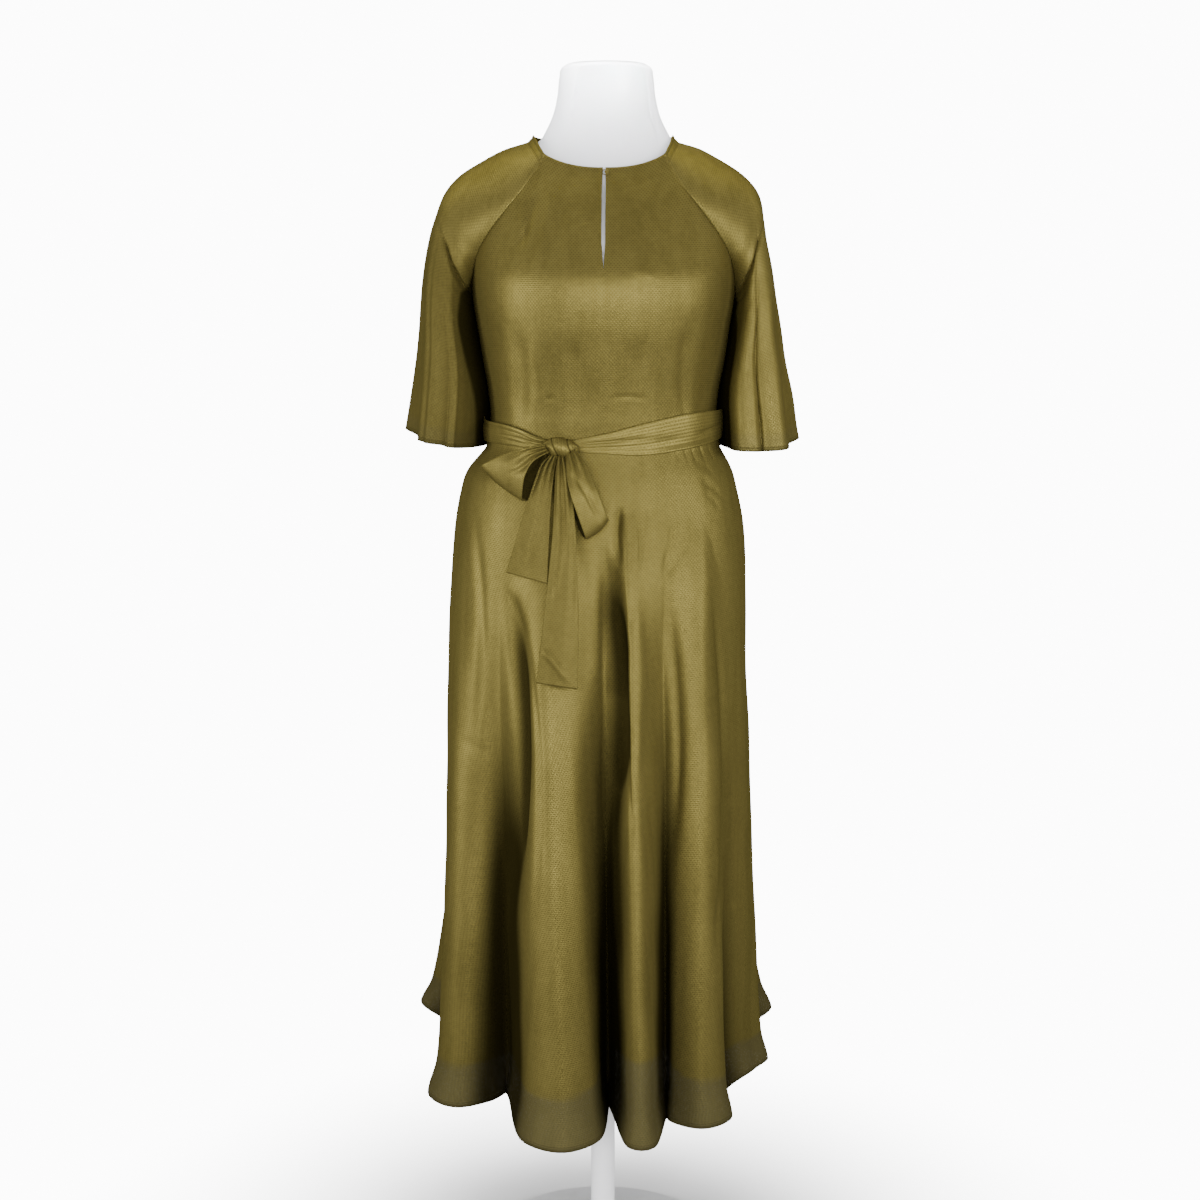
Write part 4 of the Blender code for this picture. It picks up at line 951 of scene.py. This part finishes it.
def neckBand():
    left, right = sleeveSurface(-1)[0][0], sleeveSurface(1)[0][0][::-1]
    back = bodicePanel("back")[0][-1]
    path = np.concatenate([left, back[1:-1], right])
    under = np.array([[0.0030, 0.0010, 0.0], [-0.0030, 0.0010, 0.0]])
    path = np.concatenate([path[:1] + under[:1], path, path[-1:] + under[1:]])
    radial = unit(path * np.array([1.0, 1.0, 0.0]))
    lean = unit(np.array([0.0, 0.0, band["rise"]]) - radial)
    seam = {}
    for side in (-1, 1):
        low, high = (bodySection(bodice, side * raglanAngle(height, "front"), height)
                     for height in (dress["sleeveTop"], dress["neckCorner"]))
        seam[side] = unit(high - low)
    run = np.concatenate([[0.0], np.cumsum(np.linalg.norm(np.diff(path, axis=0), axis=-1))])
    share = run / run[-1]
    for side, nearness in ((-1, ease(1 - share / band["turn"])), (1, ease(1 - (1 - share) / band["turn"]))):
        near = nearness[:, None]
        lean = unit(lean * (1 - near) + seam[side] * near)
    step = span(-0.0024, band["width"], band["rows"])
    points = path[None] + lean[None] * step[:, None, None]
    normal = outward(points)
    rows = (step / band["width"])[:, None]
    push = 0.0008 + 0.0007 * ease((rows - 0.55) / 0.2) - 0.0005 * np.exp(-((rows - 0.5) / 0.10) ** 2)
    points = points + normal * push[..., None]
    return points, grainOf(points, points.shape[1] // 2), {}


neckBinding = settle(layGrid("neckBand", *neckBand(), band["cloth"]), olive, "dress_satin", "neck_band")

button = {"radius": 0.0030, "height": 0.0026, "x": 0.0046, "z": 1.4205, "off": 0.0013,
          "loop": 0.0005, "stretch": 0.0035}


def chestY(x, z):
    reach = abs(x - float(look(bodice, "cx", "z", z))) / float(look(bodice, "half", "z", z))
    return -float(look(bodice, "front", "z", z)) * (1 - reach ** dress["roundness"]) ** (1 / dress["roundness"])


def chestLean(x, z):
    return math.atan2(chestY(x, z + 0.004) - chestY(x, z - 0.004), 0.008)


def offChest(x, z, distance):
    lean = chestLean(x, z)
    return np.array([x, chestY(x, z) - distance * math.cos(lean), z + distance * math.sin(lean)])


def makeButton():
    dome = bmesh.new()
    bmesh.ops.create_uvsphere(dome, u_segments=28, v_segments=16, radius=1.0)
    lean = chestLean(button["x"], button["z"])
    seat = offChest(button["x"], button["z"], button["off"] + button["height"] / 2)
    for corner in dome.verts:
        x, y, z = corner.co
        pinch = 1.0 - 0.16 * math.exp(-((math.hypot(x, z) - 0.78) / 0.10) ** 2)
        x, y, z = x * button["radius"], y * button["height"] / 2 * pinch, z * button["radius"]
        corner.co = (seat[0] + x, seat[1] + y * math.cos(lean) + z * math.sin(lean),
                     seat[2] + z * math.cos(lean) - y * math.sin(lean))
    return newPiece("neckButton", dome)


def makeLoop():
    curve = bpy.data.curves.new("neckLoop", "CURVE")
    curve.dimensions = "3D"
    curve.bevel_depth = button["loop"]
    curve.bevel_resolution = 3
    curve.use_fill_caps = True
    spline = curve.splines.new("POLY")
    spline.points.add(40)
    lean = chestLean(button["x"], button["z"])
    reach = button["radius"] + button["loop"] + 0.0005
    for k, point in enumerate(spline.points):
        turn = math.radians(-150 + 300 * k / 40)
        x = button["x"] + reach * math.cos(turn) - max(0.0, -math.cos(turn)) * button["stretch"]
        z = button["z"] + reach * math.sin(turn) * math.cos(lean)
        point.co = (*offChest(x, z, 0.0018), 1.0)
    draft = bpy.data.objects.new("loopDraft", curve)
    bpy.context.scene.collection.objects.link(draft)
    bpy.context.view_layer.update()
    mesh = bpy.data.meshes.new_from_object(draft.evaluated_get(bpy.context.evaluated_depsgraph_get()))
    bpy.data.objects.remove(draft)
    sheet = bmesh.new()
    sheet.from_mesh(mesh)
    bpy.data.meshes.remove(mesh)
    bmesh.ops.remove_doubles(sheet, verts=sheet.verts, dist=1e-6)
    return newPiece("neckLoop", sheet)


settle(makeButton(), oliveSash, "dress_satin", "neck_button")
settle(makeLoop(), oliveSash, "dress_satin", "neck_loop")
print("neck made")


# --- sash and bow

sashCreases = table(  # place across the sash, its drift along the turn, width, depth and where it lies
    "place drift width depth from to",
    (0.2, 0.0012, 0.08, -0.0011, -100, -20),
    (0.45, -0.002, 0.07, -0.0012, -70, -18),
    (0.72, 0.001, 0.06, -0.0007, -60, -20),
    (0.34, 0.005, 0.09, -0.0013, -14, 30),
    (0.7, -0.001, 0.1, -0.001, -14, 44),
    (0.92, 0, 0.04, -0.0006, 20, 100),
    (0.66, -0.006, 0.07, -0.002, 44, 84),
    (0.35, 0.002, 0.08, -0.0012, 86, 180),
    (0.66, -0.001, 0.07, -0.0012, 90, 180),
    (0.3, -0.001, 0.08, -0.0012, -180, -80),
    (0.6, 0.001, 0.07, -0.0012, -180, -90),
)

tie = {"cloth": 0.0013, "out": 0.0021, "knot": (-0.0520, -0.1302, 1.0880), "half": (0.0225, 0.0115, 0.0110),
       "loopStep": 0.0013, "tailStep": 0.0004, "rows": 26, "columns": 420}

loopLeft = table(
    "ax ay az bx by bz",
    (-0.0745, -0.139, 1.0925, -0.07, -0.142, 1.082),
    (-0.096, -0.148, 1.088, -0.086, -0.153, 1.0715),
    (-0.123, -0.152, 1.08, -0.095, -0.159, 1.054),
    (-0.144, -0.146, 1.07, -0.0985, -0.155, 1.03),
    (-0.149, -0.138, 1.066, -0.097, -0.147, 1.025),
    (-0.143, -0.132, 1.07, -0.086, -0.14, 1.029),
    (-0.116, -0.13, 1.08, -0.074, -0.136, 1.05),
    (-0.076, -0.129, 1.089, -0.07, -0.133, 1.077),
)

loopRight = table(
    "ax ay az bx by bz",
    (-0.029, -0.14, 1.088, -0.042, -0.144, 1.0775),
    (-0.019, -0.152, 1.066, -0.044, -0.158, 1.056),
    (-0.007, -0.16, 1.038, -0.037, -0.168, 1.026),
    (0.004, -0.158, 1.008, -0.023, -0.166, 0.986),
    (0.006, -0.15, 1.002, -0.022, -0.157, 0.98),
    (0.001, -0.145, 1.008, -0.03, -0.15, 0.992),
    (-0.016, -0.14, 1.043, -0.042, -0.145, 1.032),
    (-0.031, -0.132, 1.078, -0.044, -0.137, 1.0745),
)

tailShort = table(
    "ax ay az bx by bz",
    (-0.068, -0.137, 1.0775, -0.058, -0.14, 1.076),
    (-0.078, -0.144, 1.062, -0.06, -0.15, 1.056),
    (-0.09, -0.15, 1.03, -0.063, -0.158, 1.022),
    (-0.104, -0.154, 0.985, -0.0655, -0.162, 0.975),
    (-0.118, -0.158, 0.938, -0.067, -0.166, 0.925),
)

tailLong = table(
    "ax ay az bx by bz",
    (-0.0565, -0.14, 1.076, -0.046, -0.14, 1.076),
    (-0.058, -0.156, 1.05, -0.04, -0.158, 1.048),
    (-0.061, -0.164, 0.99, -0.033, -0.168, 0.988),
    (-0.069, -0.17, 0.91, -0.03, -0.176, 0.906),
    (-0.076, -0.176, 0.85, -0.03, -0.184, 0.845),
    (-0.081, -0.18, 0.806, -0.031, -0.19, 0.8),
)


def sashSurface():
    turn = span(-180.0, 180.0, tie["columns"] + 1)[None, :]
    place = span(0.0, 1.0, tie["rows"])[:, None]
    middle, width = look(sash, "z", "turn", turn), look(sash, "width", "turn", turn)
    z = middle + (0.5 - place) * width
    angle = np.radians(turn)
    upper = bodySection(bodice, angle, z, -tie["out"])
    lower = bodySection(skirt, angle, np.minimum(z, dress["waist"]), -tie["out"])
    grown = np.linalg.norm(lower[..., :2], axis=-1) / np.linalg.norm(upper[..., :2], axis=-1)
    upper[..., :2] *= np.maximum(grown, 1.0)[..., None]
    push = 0 * z
    for centre, drift, across, depth, start, end in rowsOf(sashCreases, "place drift width depth from to"):
        where = ease((turn - start) / 16) * ease((end - turn) / 22)
        push = push + depth * where * np.exp(-((place - centre - drift * (turn - start)) / across) ** 2)
    gathered = np.exp(-((turn + 24) / 8) ** 2)
    push = push + 0.0009 * gathered * np.cos(2 * math.pi * (3.5 * place + 0.02 * turn))
    push = push + 0.0010 * np.sin(math.pi * place) ** 0.7
    normal = outward(upper, closed=True)
    points = upper + normal * push[..., None]
    points[:, -1] = points[:, 0]
    return points, grainOf(points, points.shape[1] // 2), {}


def besideKnot(row, step):
    centre = np.array(tie["knot"])
    arm = row - centre
    reach = np.linalg.norm(arm / np.array(tie["half"]), axis=-1, keepdims=True)
    wanted = 1.0 + step * reach / np.linalg.norm(arm, axis=-1, keepdims=True)
    return centre + arm * wanted / reach


def ribbonSurface(rows, ends, step, pleats, crown, marks=None, count=90, columns=28):
    total = len(rows["ax"])
    wanted = span(0.0, total - 1.0, count)
    source = dict(rows, row=np.arange(total, dtype=float))
    first, second = looks(source, "ax ay az", "row", wanted), looks(source, "bx by bz", "row", wanted)
    share = span(0.0, 1.0, columns + 1)[None, :, None]
    points = first[:, None] * (1 - share) + second[:, None] * share
    down = np.linspace(0.0, 1.0, count)[:, None]
    fromKnot = down if len(ends) == 1 else np.minimum(down, 1 - down) * 2
    for end in ends:
        shift = besideKnot(points[end], step) - points[end]
        near = ease(1 - (down if end == 0 else 1 - down) / 0.14)[..., None]
        points = points + shift[None] * near
    normal = outward(points)
    if np.mean(normal[: count // 3, :, 1]) > 0:
        normal = -normal
    place = share[..., 0]
    push = crown * np.sin(math.pi * place) * ease(fromKnot / 0.25)
    for number, phase, depth, reach in pleats:
        fan = np.exp(-(fromKnot / reach) ** 2)
        push = push + depth * fan * np.cos(2 * math.pi * (number * place + phase))
    if marks is not None:
        push = push + marksOn(points, marks, 1.0)
    push = push + ripple(points, int(1000 * abs(rows["ax"][1])), 0.05, 0.0006) * ease(fromKnot / 0.2)
    push = push * ease(fromKnot / 0.05 + 0.25)
    points = points + normal * push[..., None]
    # painted shade: a loop is dark inside its mouth, a tail a little darker all down
    paintedShade = 0.85 * ease((down - 0.56) / 0.08) if len(ends) > 1 else 0.24 * ease(fromKnot / 0.3)
    return points, grainOf(points, columns // 2), {"paintedShade": paintedShade + 0 * place}


tailLongMarks = table(
    "ax az bx bz width depth sharp",
    (-0.079, 0.85, -0.04, 0.804, 0.006, 0.003, 0.7),
    (-0.05, 1.05, -0.066, 0.88, 0.004, -0.0022, 0.5),
    (-0.042, 1.04, -0.036, 0.86, 0.004, 0.0016, 0.3),
)
tailShortMarks = table(
    "ax az bx bz width depth sharp",
    (-0.07, 1.05, -0.096, 0.94, 0.0045, -0.0022, 0.4),
    (-0.063, 1.03, -0.074, 0.93, 0.004, 0.0015, 0),
)
loopMarks = table(
    "ax az bx bz width depth sharp",
    (-0.08, 1.078, -0.118, 1.056, 0.0035, -0.0018, 0.4),
    (-0.04, 1.06, -0.004, 0.995, 0.0035, -0.0022, 0.4),
    (-0.03, 1.07, -0.022, 1.01, 0.003, 0.0012, 0),
)

bow = {
    "sashLoopLeft": ("sash_loop_left", loopLeft, (0, -1), tie["loopStep"],
                     ((3.0, 0.1, 0.0022, 0.35), (6.0, 0.3, 0.0007, 0.25)), 0.0030, loopMarks),
    "sashLoopRight": ("sash_loop_right", loopRight, (0, -1), tie["loopStep"],
                      ((2.5, 0.3, 0.0022, 0.40), (5.0, 0.6, 0.0008, 0.30)), 0.0032, loopMarks),
    "sashTailShort": ("sash_tail_short", tailShort, (0,), tie["tailStep"],
                      ((2.5, 0.2, 0.0022, 0.45), (5.0, 0.1, 0.0006, 0.40)), 0.0012, tailShortMarks),
    "sashTailLong": ("sash_tail_long", tailLong, (0,), tie["tailStep"],
                     ((2.0, 0.6, 0.0024, 0.40), (4.0, 0.2, 0.0007, 0.35)), 0.0014, tailLongMarks),
}

sashBand = layGrid("sashBand", *sashSurface(), tie["cloth"], closed=True)
settle(sashBand, oliveSash, "dress_satin", "sash_band")
for name, (node, rows, ends, step, pleats, crown, marks) in bow.items():
    ribbon = ribbonSurface(rows, ends, step, pleats, crown, marks)
    piece = settle(layGrid(name, *ribbon, tie["cloth"]), oliveSash, "dress_satin", node)


def makeKnot():
    # a core wrapped by slanting turns of the sash, gathered towards both ends
    turns = span(0.0, 2 * math.pi, 121)[None, :]
    along = span(-1.0, 1.0, 91)[:, None]
    ring = np.maximum(1 - np.abs(along) ** 6, 0.0) ** 0.5 * (0.62 + 0.38 * ease((0.80 - np.abs(along)) / 0.38))
    slant = along * 3.0 + 0.75 * np.sin(turns - 0.5)
    fold = np.abs(np.sin(slant * 1.25 + 0.9)) ** 0.6
    gather = np.cos(7 * turns + 3 * along) * ease((np.abs(along) - 0.45) / 0.3)
    reach = ring * (0.90 + 0.17 * fold + 0.05 * gather + 0.012 * np.cos(slant * 11))
    points = np.stack([
        tie["knot"][0] + tie["half"][0] * along * (1.0 + 0.0 * turns),
        tie["knot"][1] + tie["half"][1] * reach * np.cos(turns),
        tie["knot"][2] + tie["half"][2] * 1.12 * reach * np.sin(turns) - 0.0020 * along,
    ], axis=-1)
    points[:, -1] = points[:, 0]
    # painted shade in the troughs of the knot's slanting folds and in its gathers
    paintedShade = 0.8 * ease((0.55 - fold) / 0.45) + 0.3 * ease(-gather) * ease((np.abs(along) - 0.45) / 0.3)
    return layGrid("sashKnot", points, grainOf(points, 60), {"paintedShade": np.minimum(paintedShade, 1.0)}, 0.0, closed=True)


sashKnot = settle(makeKnot(), oliveSash, "dress_satin", "sash_knot")
print("sash and bow made")


# --- the form it stands on

formLower = table(
    "z cx half front back",
    (0.8, -0.004, 0.128, 0.09, 0.095),
    (0.815, -0.004, 0.15, 0.108, 0.113),
    (0.85, -0.004, 0.168, 0.123, 0.128),
    (0.9, -0.004, 0.176, 0.13, 0.133),
    (0.95, -0.003, 0.173, 0.127, 0.127),
    (1, -0.002, 0.164, 0.119, 0.118),
    (1.05, -0.001, 0.151, 0.112, 0.107),
    (1.083, 0, 0.142, 0.108, 0.1),
)
formUpper = table(
    "z cx half front back",
    (1.29, 0.001, 0.159, 0.1445, 0.111),
    (1.325, 0.001, 0.157, 0.1285, 0.109),
    (1.36, 0.001, 0.16, 0.108, 0.104),
    (1.385, 0.001, 0.167, 0.092, 0.095),
    (1.403, 0.001, 0.169, 0.08, 0.084),
    (1.418, 0.001, 0.164, 0.07, 0.075),
    (1.432, 0.001, 0.145, 0.0635, 0.069),
    (1.445, 0.002, 0.121, 0.0585, 0.065),
    (1.456, 0.003, 0.099, 0.056, 0.062),
    (1.467, 0.004, 0.084, 0.0545, 0.06),
    (1.479, 0.004, 0.0765, 0.0535, 0.058),
    (1.494, 0.004, 0.069, 0.0525, 0.0565),
    (1.52, 0.004, 0.062, 0.051, 0.054),
    (1.548, 0.004, 0.0585, 0.05, 0.052),
    (1.556, 0.004, 0.0565, 0.048, 0.05),
    (1.56, 0.004, 0.05, 0.042, 0.044),
)
form = {"skin": 0.0026, "columns": 120, "rows": 190, "poleRadius": 0.016, "baseRadius": 0.150,
        "baseHeight": 0.034, "rim": 0.012, "bottom": 0.800}


def makeTorso():
    follow = (bodice["z"] > dress["waist"]) & (bodice["z"] < formUpper["z"][0])
    joined = {}
    for key in "z cx half front back".split():
        inset = form["skin"] if key in ("half", "front", "back") else 0.0
        joined[key] = np.concatenate([formLower[key], bodice[key][follow] - inset, formUpper[key]])
    angle = span(0.0, 2 * math.pi, form["columns"] + 1)[None, :]
    z = span(joined["z"][0], joined["z"][-1], form["rows"])[:, None]
    rows = [bodySection(joined, angle, z)]
    for end, place in ((0, 0), (-1, len(rows[0]))):
        ring = rows[0][end]
        middle = ring[:-1].mean(axis=0)
        shrunk = [middle + (ring - middle) * s for s in (0.97, 0.6, 0.2, 0.0)]
        rows.insert(place and len(rows), np.array(shrunk[::-1] if end == 0 else shrunk))
    points = np.concatenate(rows)
    points[:, -1] = points[:, 0]
    return layGrid("formTorso", points, grainOf(points, 0), {}, 0.0, closed=True)


def turnedPiece(name, profile, steps=96):
    # spins a profile of radius and height about the pole's axis
    line = bmesh.new()
    corners = [line.verts.new((radius, 0.0, z)) for radius, z in profile]
    for a, b in zip(corners, corners[1:]):
        line.edges.new((a, b))
    bmesh.ops.spin(line, geom=line.verts[:] + line.edges[:], cent=(0, 0, 0), axis=(0, 0, 1), dvec=(0, 0, 0),
                   angle=2 * math.pi, steps=steps, use_merge=True, use_duplicate=False)
    bmesh.ops.remove_doubles(line, verts=line.verts, dist=1e-6)
    bmesh.ops.recalc_face_normals(line, faces=line.faces)
    return newPiece(name, line)


def rounded(profile, radius, steps=5):
    # eases the corners of a profile
    eased = [profile[0]]
    for before, corner, after in zip(profile, profile[1:], profile[2:]):
        corner = np.array(corner)
        ends = []
        for other in (before, after):
            way = np.array(other) - corner
            ends.append(corner + way * min(0.45, radius / max(np.linalg.norm(way), 1e-9)))
        for share in np.linspace(0, 1, steps):
            eased.append(tuple(ends[0] * (1 - share) ** 2 + 2 * corner * share * (1 - share) + ends[1] * share ** 2))
    return eased + [profile[-1]]


settle(makeTorso(), cover, "form_cover", "form_torso")
basePiece = turnedPiece("formBase", rounded([
    (0.0, 0.0), (form["baseRadius"], 0.0), (form["baseRadius"], form["rim"]),
    (0.060, 0.018), (0.030, 0.026), (0.027, form["baseHeight"]), (0.0, form["baseHeight"]),
], 0.003))
settle(basePiece, paint, "form_metal", "form_base")
polePiece = turnedPiece("formPole", rounded([
    (0.0, form["baseHeight"] + 0.0003), (form["poleRadius"], form["baseHeight"] + 0.0003),
    (form["poleRadius"], form["bottom"] - 0.0003), (0.0, form["bottom"] - 0.0003),
], 0.001), 48)
settle(polePiece, paint, "form_metal", "form_pole")
print("form made")


# --- floor, light and camera

stage = {"floor": 8.0, "fade": (0.17, 0.80), "sky": 0.08, "backdrop": 12.0}

lamps = {  # place, aim, size, power and spread
    "frontStrip": ((0.5, -3.0, 1.50), (0.0, 0.0, 0.95), (4.2, 0.5), 128.0, 180),
    "frontLow": ((0.3, -3.0, 0.30), (0.0, 0.0, 1.0), (3.6, 0.4), 26.0, 180),
    "arcLeft": ((-2.9, -1.9, 1.50), (0.0, 0.0, 1.1), (1.6, 0.5), 56.0, 180),
    "arcRight": ((3.1, -1.9, 1.50), (0.0, 0.0, 1.1), (1.6, 0.5), 56.0, 180),
    "sideLeft": ((-2.7, -1.2, 0.9), (0.0, 0.0, 0.6), (0.6, 1.7), 40.0, 180),
    "sideRight": ((2.7, -1.1, 1.3), (0.0, 0.0, 0.9), (0.6, 1.9), 12.0, 180),
    "topBox": ((-0.1, 0.3, 3.4), (0.0, 0.0, 1.0), (1.8, 0.9), 20.0, 180),
    "capLeft": ((-1.0, 0.5, 3.10), (-0.12, 0.0, 1.39), (1.3, 1.3), 19.0, 180),
    "capRight": ((1.0, 0.5, 3.10), (0.12, 0.0, 1.39), (1.3, 1.3), 19.0, 180),
    "neckBox": ((0.0, -1.5, 2.3), (0.0, 0.0, 1.60), (0.12, 0.12), 1.1, 9),
    "backBox": ((0.0, 3.2, 3.2), (0.0, 2.5, 0.0), (3.0, 1.6), 120.0, 60),
}


def makeFloor():
    sheet = bmesh.new()
    bmesh.ops.create_grid(sheet, x_segments=4, y_segments=4, size=stage["floor"] / 2)
    bmesh.ops.translate(sheet, verts=sheet.verts, vec=(0, 0, -0.0005))
    piece = newPiece("floor", sheet)
    desk = Desk("paleFloor")
    place = desk.place()
    cloud = desk.noise(place, 1.5)
    colour = desk.mix(cloud * 0.3, (0.90, 0.90, 0.90, 1.0), (0.88, 0.88, 0.88, 1.0))
    fromMiddle = desk.put("ShaderNodeVectorMath", {"operation": "LENGTH"}, {0: place}, output=1)
    piece.data.materials.append(desk.finish({"Base Color": colour, "Roughness": 0.85 + cloud * 0.05,
                                             "Alpha": fromMiddle.band(*stage["fade"], 1.0, 0.0)}))
    return piece


def softLamp(name, place, aim, size, power, spread):
    lamp = bpy.data.lights.new(name, "AREA")
    lamp.shape = "RECTANGLE"
    lamp.size, lamp.size_y = size
    lamp.energy = power
    lamp.spread = math.radians(spread)
    holder = bpy.data.objects.new(name, lamp)
    holder.location = place
    holder.rotation_euler = (Vector(aim) - Vector(place)).to_track_quat("-Z", "Y").to_euler()
    bpy.context.scene.collection.objects.link(holder)


makeFloor()
for name, setting in lamps.items():
    softLamp(name, *setting)

# bright as seen behind the form, dim as a light on it
world = bpy.data.worlds.new("studio")
world.use_nodes = True
backdrop = world.node_tree.nodes["Background"]
backdrop.inputs["Color"].default_value = (1.0, 1.0, 1.0, 1.0)
seen = world.node_tree.nodes.new("ShaderNodeLightPath")
level = world.node_tree.nodes.new("ShaderNodeMapRange")
level.inputs["To Min"].default_value = stage["sky"]
level.inputs["To Max"].default_value = stage["backdrop"]
world.node_tree.links.new(seen.outputs["Is Camera Ray"], level.inputs["Value"])
world.node_tree.links.new(level.outputs["Result"], backdrop.inputs["Strength"])
bpy.context.scene.world = world

camera = bpy.data.cameras.new("camera")
camera.lens = 55.8
camera.sensor_width = 36.0
cameraHolder = bpy.data.objects.new("camera", camera)
cameraHolder.location = (-0.004, -2.4, 1.20)
cameraHolder.rotation_euler = (math.radians(82.5), 0.0, 0.0)
bpy.context.scene.collection.objects.link(cameraHolder)
bpy.context.scene.camera = cameraHolder
print("floor, light and camera made")
